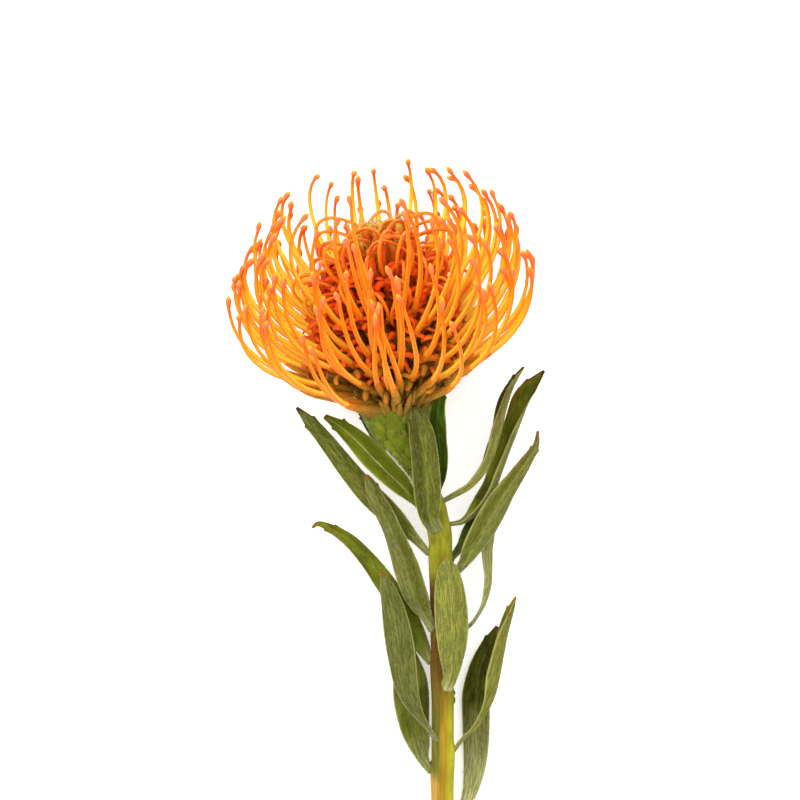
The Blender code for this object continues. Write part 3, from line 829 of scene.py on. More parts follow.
class Floret:
    """One floret of the head, from its place in the spiral. All draws are seeded by it."""

    def __init__(self, index):
        draw = random.Random(SEED + index)
        (low, wide), (high, narrow) = CONE
        share = (index + 0.5) / FLORETS
        self.up = (wide - math.sqrt(wide**2 - (wide**2 - narrow**2) * share)) / (wide - narrow)
        self.root = (wide + (narrow - wide) * self.up, low + (high - low) * self.up)
        self.angle = FIRST_ANGLE + index * GOLDEN_ANGLE + draw.uniform(-0.1, 0.1)
        self.lean = math.radians(62 * (1 - self.up**1.5) + 2 + draw.uniform(-5, 4))
        self.last_lean = math.radians(10 - 24 * self.up + draw.uniform(-8, 8))
        self.hook = math.radians(12 + 90 * self.up + draw.uniform(-6, 14))
        self.sway = math.radians(draw.uniform(-11, 11))
        self.length = STYLE_LENGTH + 2 * self.up + draw.uniform(-2, 2)
        self.mouth = TUBE_LENGTH + 11 * self.up + draw.uniform(-1.5, 1.5)
        self.bow_turn = math.radians(draw.uniform(-65, 65))
        self.bow = draw.uniform(0.8, 1.2)
        self.open = self.up < OPEN_TO
        self.looped = not self.open and self.up < LOOPED_TO
        self.extra = random.Random(SEED * 3 + index)
        if self.open:
            # The left side has opened lower; on the right the styles' ends lean further out.
            right = math.cos(self.angle)
            self.lean += math.radians(1.2 - 2.5 * right)
            self.last_lean += math.radians(2.5 + 3 * right)

    def spread(self, radius, height, turn=0.0):
        """A point of the floret's own plane, in the head's frame."""
        angle = self.angle + turn
        return Vector((radius * math.cos(angle), radius * math.sin(angle), height))

    def style(self, steps=64):
        """Many points along the free style, which leans out, rises and hooks in."""
        radius, height = self.root
        line = []
        for step in range(steps + 1):
            t = step / steps
            line.append(self.spread(radius, height, self.sway * t * t))
            bent = smoothstep(0.3, 1.0, t)
            lean = self.lean + (self.last_lean - self.lean) * bent
            lean -= self.hook * max(0.0, (t - 0.6) / 0.4) ** 2
            radius += self.length / steps * math.sin(lean)
            height += self.length / steps * math.cos(lean)
        return line

    def tube(self, reach):
        """The straight perianth tube from the root to this distance from it."""
        radius, height = self.root
        end = self.spread(
            radius + reach * math.sin(self.lean), height + reach * math.cos(self.lean)
        )
        return [self.spread(radius, height), end]

    def loop(self, steps):
        """The bow of a style that is still held at its tip: out of the tube and back."""
        root, end = self.tube(self.mouth)
        along = (end - root).normalized()
        out = self.spread(math.cos(self.lean), -math.sin(self.lean))
        out.rotate(Matrix.Rotation(self.bow_turn, 3, along))
        start = root + along * 11
        first = start + (along * 9 + out * 15) * self.bow
        second = end + (along * 10 + out * 11) * self.bow
        line = []
        for step in range(steps + 1):
            t = step / steps
            line.append(
                start * (1 - t) ** 3
                + first * 3 * t * (1 - t) ** 2
                + second * 3 * t * t * (1 - t)
                + end * t**3
            )
        return line


florets = [Floret(index) for index in range(FLORETS)]
free = [floret for floret in florets if floret.open]
bowed = [floret for floret in florets if floret.looped]
closed = [floret for floret in florets if not floret.open and not floret.looped]
print("free styles", len(free), "bows", len(bowed), "buds", len(closed))

# %% Rods of the head
def head_rods(rods, sides):
    """Rods given in the head's frame, turned with the head."""
    bm = bend_rods(rods, sides)
    for vert in bm.verts:
        vert.co = HEAD @ vert.co
    return bm


def pressed(line, radii):
    """A line of the head, kept above the surface that the flower lies on."""
    return [TO_HEAD @ off_floor(HEAD @ point, radius) for point, radius in zip(line, radii)]


def outward(floret):
    """The direction away from the head's axis at this floret."""
    return floret.spread(1, 0)


print("lowest root", round(florets[0].root[1], 1), "highest", round(florets[-1].root[1], 1))

# %% [markdown]
# A style is smooth, waxy and slightly see-through. Its outer side is orange and its inner
# side golden yellow, and both turn red just under the tip. The tip is the pollen presenter,
# a small pinkish club with a yellow-green point. One rod can carry all of that: its radius
# makes the club and the along mark paints it.

# %% Style finish
style_finish, tree, shader = new_finish(
    "style_skin", 0.4, Specular_IOR_Level=0.12, Subsurface_Weight=0.4,
    Subsurface_Radius=(1.0, 0.4, 0.04), Subsurface_Scale=0.0016,
)
along = mark(tree, "along")
outer = mark(tree, "outer")
outer_side = ramp(tree, along, [
    (0.0, (0.62, 0.20, 0.004)), (0.3, (0.84, 0.21, 0.001)), (0.6, (0.85, 0.18, 0.001)),
    (0.84, (0.80, 0.13, 0.001)), (0.93, (0.74, 0.085, 0.003)), (0.955, (0.68, 0.11, 0.04)),
    (0.98, (0.70, 0.14, 0.05)), (0.992, (0.72, 0.34, 0.02)), (1.0, (0.42, 0.38, 0.02)),
])
inner_side = ramp(tree, along, [
    (0.0, (0.80, 0.42, 0.012)), (0.4, (0.95, 0.72, 0.07)), (0.7, (0.95, 0.64, 0.04)),
    (0.86, (0.88, 0.34, 0.006)), (0.93, (0.76, 0.13, 0.004)), (0.955, (0.70, 0.12, 0.04)),
    (0.98, (0.72, 0.15, 0.055)), (0.992, (0.74, 0.36, 0.02)), (1.0, (0.42, 0.40, 0.02)),
])
skin = blend_colour(tree, stretch(tree, outer, 0.8, -0.4), outer_side, inner_side)
redder = times(
    tree, stretch(tree, mark(tree, "tint"), 0.45, 1.0), 0.45,
    stretch(tree, along, 0.92, 0.80), stretch(tree, outer, -0.5, 0.7),
)
skin = paint(tree, skin, (0.78, 0.10, 0.001), redder)
streaks = times(tree, effect(tree, STREAKS, 0.35), 0.25)
skin = paint(tree, skin, (0.95, 0.44, 0.02), streaks)
dress(tree, shader, skin, streaks, 0.0002)
print(style_finish.name)

# %% Free styles
STYLE_PROFILE = [
    (0.05, 0.80), (0.25, 1.05), (0.42, 1.0), (0.6, 0.86), (0.75, 0.72), (0.88, 0.6), (0.935, 0.58),
    (0.95, 0.72), (0.962, 0.96), (0.973, 1.06), (0.983, 0.88), (0.992, 0.5), (1.0, 0.12),
]
STYLE_RINGS = [0.05, 0.2, 0.3, 0.38, 0.46, 0.54, 0.61, 0.68, 0.74, 0.8, 0.85, 0.9] + [
    share for share, _ in STYLE_PROFILE[6:]
]
PRESENTER_FROM = 0.94


def style_rod(floret):
    """The free style of one floret, from inside its tube to the tip of its presenter."""
    line = floret.style()
    draw = floret.extra
    build = draw.uniform(0.88, 1.08)
    nod = Vector([draw.uniform(-0.3, 0.3) for _ in range(3)]) * floret.length
    points = []
    radii = []
    for share in STYLE_RINGS:
        points.append(point_on(line, share) + nod * max(0, share - PRESENTER_FROM))
        radii.append(table_value(STYLE_PROFILE, share) * build)
    tint = draw.random() * (0.5 + floret.up) + 0.2 * math.cos(floret.angle)
    rod = Rod(pressed(points, radii), radii, outward(floret), 1.0, tint)
    for index, share in enumerate(STYLE_RINGS):
        centre, normal, side, radius, _, run = rod.rings[index]
        rod.rings[index] = (centre, normal, side, radius, share, run)
    return rod


styles = head_rods([style_rod(floret) for floret in free], 6)
add_piece("styles", styles, ["flower_head"], style_finish)

# %% [markdown]
# Round each style stands its perianth, a woolly tube, olive and tan below and red-orange
# above. Where the style has sprung free, the lobes at the tube's mouth have rolled back. The
# tube is a turned rod and each lobe a flat rod on a spiral: the first one broad and nearly
# straight, the others tight coils. The lowest florets lie under their neighbours and get
# none. A ring of small closed tubes hides the rim of the collar.

# %% Perianth finish
perianth_finish, tree, shader = new_finish("perianth_skin", 0.6, Specular_IOR_Level=0.1)
streaks = effect(tree, STREAKS, 0.35)
along = mark(tree, "along")
skin = ramp(tree, along, [
    (0.0, (0.19, 0.14, 0.012)), (0.2, (0.29, 0.165, 0.010)), (0.45, (0.50, 0.20, 0.008)),
    (0.62, (0.74, 0.22, 0.003)), (0.74, (0.88, 0.15, 0.001)), (1.0, (0.88, 0.07, 0.001)),
])
skin = paint(tree, skin, (0.68, 0.40, 0.06), streaks, 0.35)
skin = paint(tree, skin, (0.24, 0.03, 0.001), effect(tree, BLOTCHES, 1.3), 0.3)
redder = times(
    tree, stretch(tree, mark(tree, "tint"), 0.15, 0.8), 0.75, stretch(tree, along, 0.3, 0.6)
)
skin = paint(tree, skin, (0.92, 0.055, 0.001), redder)
# Partly real, partly painted shade: the inside of each rolled lobe is a darker red, both its own inner
# face and the shade within the roll.
inside = times(
    tree, stretch(tree, mark(tree, "outer"), -0.2, 0.6), stretch(tree, along, 0.7, 0.8)
)
skin = paint(tree, skin, (0.60, 0.05, 0.001), inside, 0.4)
dress(tree, shader, skin, streaks, 0.0003)
print(perianth_finish.name)

# %% Perianth tubes
TUBE_PROFILE = [
    (-0.16, 0.8), (0.04, 1.25), (0.3, 1.45), (0.55, 1.45), (0.78, 1.35), (0.9, 1.2), (1.0, 0.75),
]
SKIRT_PROFILE = [
    (-0.16, 0.7), (0.04, 1.0), (0.3, 1.15), (0.55, 1.05), (0.78, 0.8), (0.9, 0.5), (1.0, 0.15),
]
SKIRT_FLORETS = 88


def skirt_floret(number):
    """A small floret of the outermost ring, whose tube lies against the collar's rim."""
    floret = Floret(number)
    draw = random.Random(SEED * 5 + number)
    floret.extra = draw
    floret.angle = math.tau * number / SKIRT_FLORETS + draw.uniform(-0.08, 0.08)
    floret.up = 0
    floret.root = (draw.uniform(8.6, 9.4), draw.uniform(-0.6, 0.8))
    floret.lean = math.radians(draw.uniform(48, 63) if number % 2 else draw.uniform(24, 48))
    floret.mouth = draw.uniform(13, 22)
    return floret


def redness(floret):
    """The tint of a floret's perianth: tan low on the head and on its right, redder elsewhere."""
    tan = 0.4 * smoothstep(-0.2, 0.6, math.cos(floret.angle)) * (1 - floret.up)
    return min(1.0, 1.3 * floret.up + floret.extra.uniform(-0.1, 0.25) - tan)


def tube_rod(floret):
    """The perianth tube of one floret: it follows the style and closes round it."""
    line = floret.style()
    # The lowest tubes, which carry no lobes, reach further up their styles.
    longer = 0.4 * smoothstep(0.14, 0.06, floret.up)
    reach = (1.2 - 0.4 * floret.up + longer) * floret.mouth / floret.length
    points = [point_on(line, max(0, share) * reach) for share, _ in TUBE_PROFILE]
    points[0] += (points[1] - points[2]) * 0.6
    radii = [radius for _, radius in TUBE_PROFILE]
    return Rod(pressed(points, radii), radii, outward(floret), 1.0, redness(floret), (0, 0.72))


def skirt_rod(floret):
    """A tube that is still closed: it ends in a soft point."""
    root, end = floret.tube(floret.mouth)
    points = [root.lerp(end, share) for share, _ in SKIRT_PROFILE]
    bend = floret.spread(-0.5, 1) * floret.extra.uniform(0.5, 2.5)
    points = [point + bend * max(0, share) ** 2 for point, (share, _) in zip(points, SKIRT_PROFILE)]
    radii = [radius for _, radius in SKIRT_PROFILE]
    return Rod(pressed(points, radii), radii, outward(floret), 1.0, 0.3 * floret.extra.random(), (0, 0.45))


skirt_rods = [skirt_rod(skirt_floret(number)) for number in range(SKIRT_FLORETS)]
tubes = [tube_rod(floret) for floret in free] + skirt_rods
add_piece("perianth_tubes", head_rods(tubes, 8), ["flower_head"], perianth_finish)

# %% Curled lobes
CURL_STEPS = 15
CURL_WIDTHS = [0.9, 1, 1, 1, 1, 1, 1, 0.97, 0.94, 0.9, 0.85, 0.8, 0.75, 0.7, 0.5, 0.15]
NO_LOBES_BELOW = 0.11
FEW_LOBES_BELOW = 0.25


def curl_rod(floret, turn, half_width, size, wraps, first=-50, span=(0.6, 1)):
    """One lobe: a ribbon that leaves the tube's mouth and coils outwards like a shaving.

    turn: the side it leaves on; size: its spiral's first radius; wraps: how far it winds;
    first: the angle at which the spiral starts; span: its share of the perianth's colours.
    """
    root, end = floret.tube(floret.mouth * 0.8)
    first = math.radians(first)
    along = (end - root).normalized()
    out = floret.spread(math.cos(floret.lean), -math.sin(floret.lean))
    out.rotate(Matrix.Rotation(turn, 3, along))
    drift = along.cross(out) * floret.extra.uniform(-3, 3) + along * floret.extra.uniform(-1, 2)
    line = []
    for step in range(CURL_STEPS + 1):
        share = step / CURL_STEPS
        angle = first + math.radians(wraps * 400 * share)
        spiral = size * (1 - 0.45 * share)
        centre = end + out * (0.8 + size * math.cos(first)) - along * size * math.sin(first)
        centre += drift * share * share
        line.append(centre - out * spiral * math.cos(angle) + along * spiral * math.sin(angle))
    widths = [half_width * wide for wide in CURL_WIDTHS]
    line = pressed(line, [0.3] * len(line))
    return Rod(line, widths, out, 0.22, redness(floret), span)


def curls_of(floret):
    """The lobes of one floret: the first broad, the rest coiled, and fewer low on the head."""
    draw = floret.extra
    if floret.up < NO_LOBES_BELOW:
        return []
    size = 0.9 + 0.6 * floret.up
    count = 3 if floret.up < FEW_LOBES_BELOW else 5
    first = draw.uniform(-0.8, 0.8)
    made = []
    for number in range(count):
        turn = first + number * math.tau / count + draw.uniform(-0.4, 0.4)
        if number == 0:
            half_width = size * draw.uniform(1.1, 1.5)
            spiral = size * draw.uniform(5.0, 8.0)
            wraps = draw.uniform(0.09, 0.16)
            span = (0.15, 0.6) if floret.up < 0.3 else (0.4, 0.9)
            made.append(curl_rod(floret, turn, half_width, spiral, wraps, 0, span))
        else:
            half_width = size * draw.uniform(0.75, 1.2)
            spiral = size * draw.uniform(1.5, 2.7)
            wraps = draw.uniform(0.6, 1.1)
            made.append(curl_rod(floret, turn, half_width, spiral, wraps))
    return made


curls = []
for floret in free + bowed:
    curls += curls_of(floret)
add_piece("perianth_curls", head_rods(curls, 4), ["flower_head"], perianth_finish)

# %% [markdown]
# The younger florets further up still hold their style's tip: the style has burst out of a
# slit and bends out as a thin red-orange bow. The closed buds at the top are downy clubs,
# greenish yellow at their ends. The woody core between them is only seen as a dark depth, so
# its dark red-brown colour is painted shade.

# %% Bow and bud finishes
bow_finish, tree, shader = new_finish("bow_skin", 0.4)
streaks = effect(tree, STREAKS, 0.3)
skin = blend_colour(tree, mark(tree, "tint"), (0.80, 0.15, 0.001), (0.74, 0.05, 0.001))
skin = paint(tree, skin, (0.84, 0.24, 0.003), stretch(tree, mark(tree, "outer"), 0.5, -0.8))
skin = paint(tree, skin, (0.90, 0.32, 0.01), streaks, 0.25)
dress(tree, shader, skin, streaks, 0.00008)

bud_finish, tree, shader = new_finish("bud_skin", 0.6, Specular_IOR_Level=0.1)
streaks = effect(tree, STREAKS, 0.35)
along = mark(tree, "along")
young_colour = ramp(tree, along, [
    (0.0, (0.55, 0.09, 0.002)), (0.6, (0.86, 0.11, 0.001)), (0.78, (0.80, 0.30, 0.012)),
    (0.86, (0.66, 0.56, 0.06)), (0.95, (0.46, 0.46, 0.05)), (1.0, (0.08, 0.10, 0.005)),
])
older_colour = ramp(tree, along, [
    (0.0, (0.46, 0.08, 0.002)), (0.5, (0.90, 0.11, 0.001)), (0.8, (0.92, 0.06, 0.001)),
    (0.93, (0.84, 0.10, 0.002)), (1.0, (0.60, 0.28, 0.01)),
])
young = stretch(tree, mark(tree, "tint"), 0.45, 0.55)
skin = blend_colour(tree, young, older_colour, young_colour)
skin = paint(tree, skin, (0.74, 0.44, 0.06), streaks, 0.3)
skin = paint(tree, skin, (0.20, 0.03, 0.001), effect(tree, BLOTCHES, 0.7), 0.3)
dress(tree, shader, skin, streaks, 0.0003)
print(bow_finish.name, bud_finish.name)

# %% Bows
BOWED_TO = 0.92
DOUBLED_TO = 0.87
WIDER = 1.3
BOW_STEPS = 24


def bow_rod(floret):
    """The thin bowed style that is still caught at its tip."""
    line = floret.loop(BOW_STEPS)
    radii = [0.66 - 0.1 * step / BOW_STEPS for step in range(BOW_STEPS + 1)]
    return Rod(pressed(line, radii), radii, outward(floret), 1.0, floret.extra.random())


bow_rods = [bow_rod(floret) for floret in bowed]
for floret in closed:
    if floret.up < BOWED_TO:
        floret.bow *= WIDER
        bow_rods.append(bow_rod(floret))
    if floret.up < DOUBLED_TO:
        floret.bow_turn += floret.extra.choice((-1, 1)) * floret.extra.uniform(1.2, 2.4)
        bow_rods.append(bow_rod(floret))
add_piece("bows", head_rods(bow_rods, 6), ["flower_head"], bow_finish)

# %% Limbs and buds
LIMB_PROFILE = [
    (0.02, 1.1), (0.35, 1.1), (0.62, 1.0), (0.76, 1.0), (0.85, 1.25), (0.92, 1.4),
    (0.97, 1.15), (1.0, 0.45),
]
GREEN_FROM = 0.88


def limb_rod(floret):
    """A closed perianth, swollen at its tip where it holds the anthers."""
    green = floret.up > GREEN_FROM
    reach = floret.mouth - (2.5 * floret.extra.random() + 1.5 if green else 0)
    root, end = floret.tube(reach)
    radii = [radius for _, radius in LIMB_PROFILE]
    line = [root.lerp(end, share) for share, _ in LIMB_PROFILE]
    tint = (0.6 if green else 0.0) + 0.4 * floret.extra.random()
    return Rod(line, radii, outward(floret), 1.0, tint)


limbs = head_rods([limb_rod(floret) for floret in bowed + closed], 8)
add_piece("buds", limbs, ["flower_head"], bud_finish)

# %% Core
CORE = [
    (-0.5, 11.4), (1.2, 11.8), (3.5, 11), (12, 12.5), (22, 14), (32, 12.6), (41, 9), (47, 4.8),
    (50, 0.8),
]
CORE_STEPS = 30
# Painted shade: the core's dark red-brown stands for the shaded depth between the tubes.
core_finish, tree, shader = new_finish("core_skin", 0.8)
blotches = effect(tree, BLOTCHES, 1.5)
skin = blend_colour(tree, blotches, (0.09, 0.012, 0.001), (0.30, 0.07, 0.003))
dress(tree, shader, skin, blotches, 0.0006)

low, high = CORE[0][0], CORE[-1][0]
heights = [low + (high - low) * step / CORE_STEPS for step in range(CORE_STEPS + 1)]
core_line = [Vector((0, 0, height)) for height in heights]
core_radii = [table_value(CORE, height) for height in heights]
add_piece("core", head_rods([Rod(core_line, core_radii)], 28), ["flower_head"], core_finish)

# %% [markdown]
# Fine hairs soften nearly every part: wool on the tubes, down on the buds and the collar,
# silk on the leaves. Hair systems are dropped when a model is exported, so each hair is a
# real mesh: a thin three-sided rod of three rings, cheap enough for many thousands.

# %% Hair helpers
HAIRS_IN_A_ROW = 400


def hair_rods(hairs):
    """One mesh of many hairs, each (root, tip, radius)."""
    whole = bmesh.new()
    for mark_name in ("along", "outer", "tint"):
        whole.verts.layers.float.new(mark_name)
    whole.verts.layers.float_vector.new("grain")
    for first in range(0, len(hairs), HAIRS_IN_A_ROW):
        rods = []
        for root, tip, radius in hairs[first:first + HAIRS_IN_A_ROW]:
            middle = root.lerp(tip, 0.5)
            facing = (tip - root).orthogonal().normalized()
            rods.append(Rod([root, middle, tip], [radius, radius * 0.8, radius * 0.2], facing))
        part = bend_rods(rods, 3)
        holder = bpy.data.meshes.new("row_of_hairs")
        part.to_mesh(holder)
        part.free()
        whole.from_mesh(holder)
        bpy.data.meshes.remove(holder)
    return whole


def fuzz(line, radii, facing, count, length, lean, draw):
    """Hairs that stand on a rod: lean is how far they point along it, 0 straight out."""
    hairs = []
    directions = tangents(line)
    for _ in range(count):
        share = draw.random()
        centre = point_on(line, share)
        place = round(share * (len(line) - 1))
        out = (facing - directions[place] * facing.dot(directions[place])).normalized()
        out.rotate(Matrix.Rotation(draw.uniform(0, math.tau), 3, directions[place]))
        root = centre + out * radii[place] * 0.9
        reach = out * (1 - lean) + directions[place] * lean
        scatter = Vector([draw.uniform(-0.3, 0.3) for _ in range(3)])
        tip = root + (reach + scatter) * length * draw.uniform(0.6, 1.2)
        hairs.append((root, tip, 0.06))
    return hairs


def hair_finish(name, root_colour, tip_colour):
    """A pale silky material that lightens towards the tip of each hair."""
    material, tree, shader = new_finish(name, 0.5, Sheen_Weight=0.2)
    skin = blend_colour(tree, mark(tree, "along"), root_colour, tip_colour)
    tree.links.new(skin, shader.inputs["Base Color"])
    return material


print("hairs in a row:", HAIRS_IN_A_ROW)

# %% Wool of the head
TUBE_RADIUS = 1.2


def in_head(hairs):
    """Hairs given in the head's frame, turned with the head and kept off the surface."""
    return [(HEAD @ root, off_floor(HEAD @ tip, 0.1), radius) for root, tip, radius in hairs]


def tube_hairs(floret, start, reach, count, length, lean):
    """Hairs on one perianth, from one share of its length to another."""
    root, end = floret.tube(floret.mouth)
    line = [root.lerp(end, start + (reach - start) * step / 6) for step in range(7)]
    return fuzz(line, [TUBE_RADIUS] * 7, outward(floret), count, length, lean, floret.extra)


draw = random.Random(77)
wool = []
for floret in free + bowed:
    wool += tube_hairs(floret, 0, 0.9, 24, 2.0, 0.8)
for curl in curls:
    facing = curl.rings[0][1].normalized()
    wool += fuzz(curl.line, [0.2] * len(curl.line), facing, 4, 1.2, 0.3, draw)
for floret in closed:
    wool += tube_hairs(floret, 0.3, 0.8, 16, 1.8, 0.8)
wool_finish = hair_finish("wool", (0.56, 0.16, 0.006), (0.82, 0.38, 0.05))
add_piece("head_wool", hair_rods(in_head(wool)), ["flower_head"], wool_finish)

# %% Down of the buds and of the lowest tubes
apex_down = []
for floret in closed:
    if floret.up > GREEN_FROM:
        apex_down += tube_hairs(floret, 0.8, 1.02, 36, 2.2, 0.5)
apex_finish = hair_finish("apex_down", (0.52, 0.46, 0.06), (0.92, 0.84, 0.36))
add_piece("apex_down", hair_rods(in_head(apex_down)), ["flower_head"], apex_finish)

RIM_HAIRS = 400
down = []
for rod in skirt_rods:
    down += fuzz(rod.line, [0.9] * len(rod.line), rod.rings[0][1], 26, 2.0, 0.85, draw)
for _ in range(RIM_HAIRS):
    angle = draw.uniform(0, math.tau)
    out = Vector((math.cos(angle), math.sin(angle), 0))
    root = out * draw.uniform(9.5, 12.3) + Vector((0, 0, draw.uniform(0.5, 2)))
    reach = out * draw.uniform(0.2, 1.0) + Vector((0, 0, draw.uniform(1, 3)))
    down.append((root, root + reach, 0.07))
down_finish = hair_finish("head_down", (0.36, 0.22, 0.025), (0.78, 0.58, 0.20))
add_piece("head_down", hair_rods(in_head(down)), ["flower_head"], down_finish)

# %% Down of the collar
HAIRS_ON_A_BRACT = 26
draw = random.Random(78)
collar_down = []
for bract in bracts:
    forward = (bract.line[-1] - bract.line[0]).normalized()
    for _ in range(HAIRS_ON_A_BRACT):
        centre, normal, side, radius, _along, _run = bract.rings[draw.randrange(0, BRACT_STEPS)]
        place = centre + side * radius * draw.uniform(-0.9, 0.9) + normal * radius * 0.6
        reach = forward * 1.3 + normal * 3.0 * draw.uniform(0.4, 1)
        collar_down.append((HEAD @ place, HEAD @ (place + reach), 0.04))
collar_down_finish = hair_finish("collar_down", (0.20, 0.21, 0.04), (0.46, 0.46, 0.20))
add_piece("involucre_down", hair_rods(collar_down), ["involucre"], collar_down_finish)

# %% [markdown]
# A leaf is a long blade, folded a little along its midrib, with no stalk. Its outer face is
# grey-green and silky, its inner face darker and smoother, its edge pale, and its end has
# three small brown points: a tooth on each edge and the tip. A slab cut into a fine grid is
# bent onto the leaf's own lines: the midrib gives its run, the roll turns it, the fold
# closes it and a slight wave loosens it.

# %% A straight slab
CELLS_ACROSS = 14
CELLS_ALONG = 72


def straight_slab():
    """A closed slab from -1 to 1 across and along, cut into a fine grid."""
    bm = bmesh.new()
    bmesh.ops.create_cube(bm, size=2)
    for axis, cells in ((0, CELLS_ACROSS), (1, CELLS_ALONG)):
        runs = [
            edge for edge in bm.edges
            if abs(edge.verts[0].co[axis] - edge.verts[1].co[axis]) > 1
        ]
        bmesh.ops.subdivide_edges(bm, edges=runs, cuts=cells - 1, use_grid_fill=True)
    return bm


slab = straight_slab()
print("slab:", len(slab.faces), "faces")
slab.free()

# %% The blade's surface
BLADE_STEPS = 120
TOOTH_SPAN = 0.06
TOOTH_HEIGHT = 0.7
# Two leaves differ from the others in how far their teeth stand out.
TOOTH_HEIGHTS = {"leaf_14": 1.1, "leaf_02": 0.4}
WAVE_HEIGHT = 0.22
RIB_HEIGHT = 0.16


class Blade:
    """The finely read lines of one leaf, and any point on or above its surface."""

    def __init__(self, leaf):
        centre, ahead = stem_at(leaf.at)
        side = Vector((1, 0, 0))
        out = side * math.cos(leaf.round) + side.cross(ahead) * math.sin(leaf.round)
        base = centre + out * (STEM_RADIUS + LEAF_THICKNESS / 2 - 0.2)
        rows = [(*base, WIDE_FEET.get(leaf.name, FOOT_HALF_WIDTH))]
        rows += [(*point, width) for point, width in zip(leaf.midrib, leaf.half_widths)]
        line = smooth_line(rows, BLADE_STEPS + 1)
        self.leaf = leaf
        self.line = [point.to_3d() for point in line]
        self.half_widths = [point[3] for point in line]
        self.length = sum((b - a).length for a, b in zip(self.line, self.line[1:]))
        self.directions = tangents(self.line)
        self.draw = random.Random(leaf.name)
        self.teeth = [
            0.90 + self.draw.uniform(-0.02, 0.015),
            0.92 + self.draw.uniform(-0.02, 0.02),
        ]
        self.phase = self.draw.uniform(0, math.tau)

    def roll(self, t):
        """The turn of the outer face from up, at a share of the leaf's length."""
        base, middle, tip = self.leaf.roll
        if t < 0.5:
            return base + (middle - base) * smoothstep(0, 0.5, t)
        return middle + (tip - middle) * smoothstep(0.5, 1, t)

    def half_width(self, u, t):
        """Half the blade's width here, with a small pointed tooth on each edge."""
        width = self.half_widths[min(BLADE_STEPS, round(t * BLADE_STEPS))]
        tooth = self.teeth[0] if u < 0 else self.teeth[1]
        if tooth - TOOTH_SPAN < t <= tooth:
            height = TOOTH_HEIGHTS.get(self.leaf.name, TOOTH_HEIGHT)
            width += height * ((t - tooth + TOOTH_SPAN) / TOOTH_SPAN) ** 2
        return width

    def point(self, u, t, lift):
        """A point at u across (-1 to 1), t along (0 to 1), this far out of the outer face."""
        fold = self.leaf.fold
        centre = point_on(self.line, t)
        ahead = self.directions[min(BLADE_STEPS, round(t * BLADE_STEPS))]
        up = Vector((0, 0, 1))
        outer = (up - ahead * up.dot(ahead)).normalized()
        outer.rotate(Matrix.Rotation(self.roll(t), 3, ahead))
        side = ahead.cross(outer)
        wide = self.half_width(u, t)
        sunk = (math.hypot(u, 0.25) - 0.25) * wide * math.sin(fold)
        wave = WAVE_HEIGHT * u * abs(u) * math.sin(3.2 * math.tau * t + self.phase)
        wave *= math.sin(math.pi * t)
        rib = RIB_HEIGHT * math.exp(-((u * wide / 0.35) ** 2)) * (1 - t)
        place = centre + side * u * wide * math.cos(fold)
        place -= outer * (sunk - wave - rib - lift)
        return place


blades = [Blade(leaf) for leaf in LEAVES]
print("longest leaf", round(max(blade.length for blade in blades), 1), "mm")

# %% Bending a slab into a leaf
def leaf_mesh(blade):
    """The slab bent onto the blade's surface, thinner at its edges, with its marks."""
    bm = straight_slab()
    names = ("along", "outer", "across", "burn")
    marks = {name: bm.verts.layers.float.new(name) for name in names}
    grain_mark = bm.verts.layers.float_vector.new("grain")
    for vert in bm.verts:
        u = vert.co.x
        face = vert.co.z
        t = (vert.co.y + 1) / 2
        t = 1 - (1 - t) * (0.55 + 0.45 * (1 - t))
        wide = blade.half_width(u, t)
        thick = LEAF_THICKNESS * (1 - 0.6 * abs(u) ** 3) * (1 - 0.5 * smoothstep(0.85, 1, t))
        place = blade.point(u, t, face * thick / 2)
        vert.co = off_floor(place, 0.1)
        tooth = blade.teeth[0] if u < 0 else blade.teeth[1]
        at_tooth = abs(u) ** 8 * smoothstep(0.016, 0.0, abs(t - tooth))
        vert[marks["along"]] = t
        vert[marks["outer"]] = face
        vert[marks["across"]] = u
        vert[marks["burn"]] = max(at_tooth, smoothstep(0.955, 0.998, t))
        vert[grain_mark] = (u * wide + 20 * face, 3 * blade.phase, t * blade.length)
    return bm


print("teeth of", blades[0].leaf.name, [round(tooth, 2) for tooth in blades[0].teeth])

# %% Shared group: leaf skin
COLOUR = "NodeSocketColor"
VALUE = "NodeSocketFloat"
SPECKS = noise_group("Specks", 1.5, 0, 0.74, 0.79)
SKIN_VALUES = {
    "Foot": 0.15, "Foot strength": 0.5, "Shaded half": 0.0, "Rib": 0.15, "Specks": 0.3, "Scorch": 0.15,
}


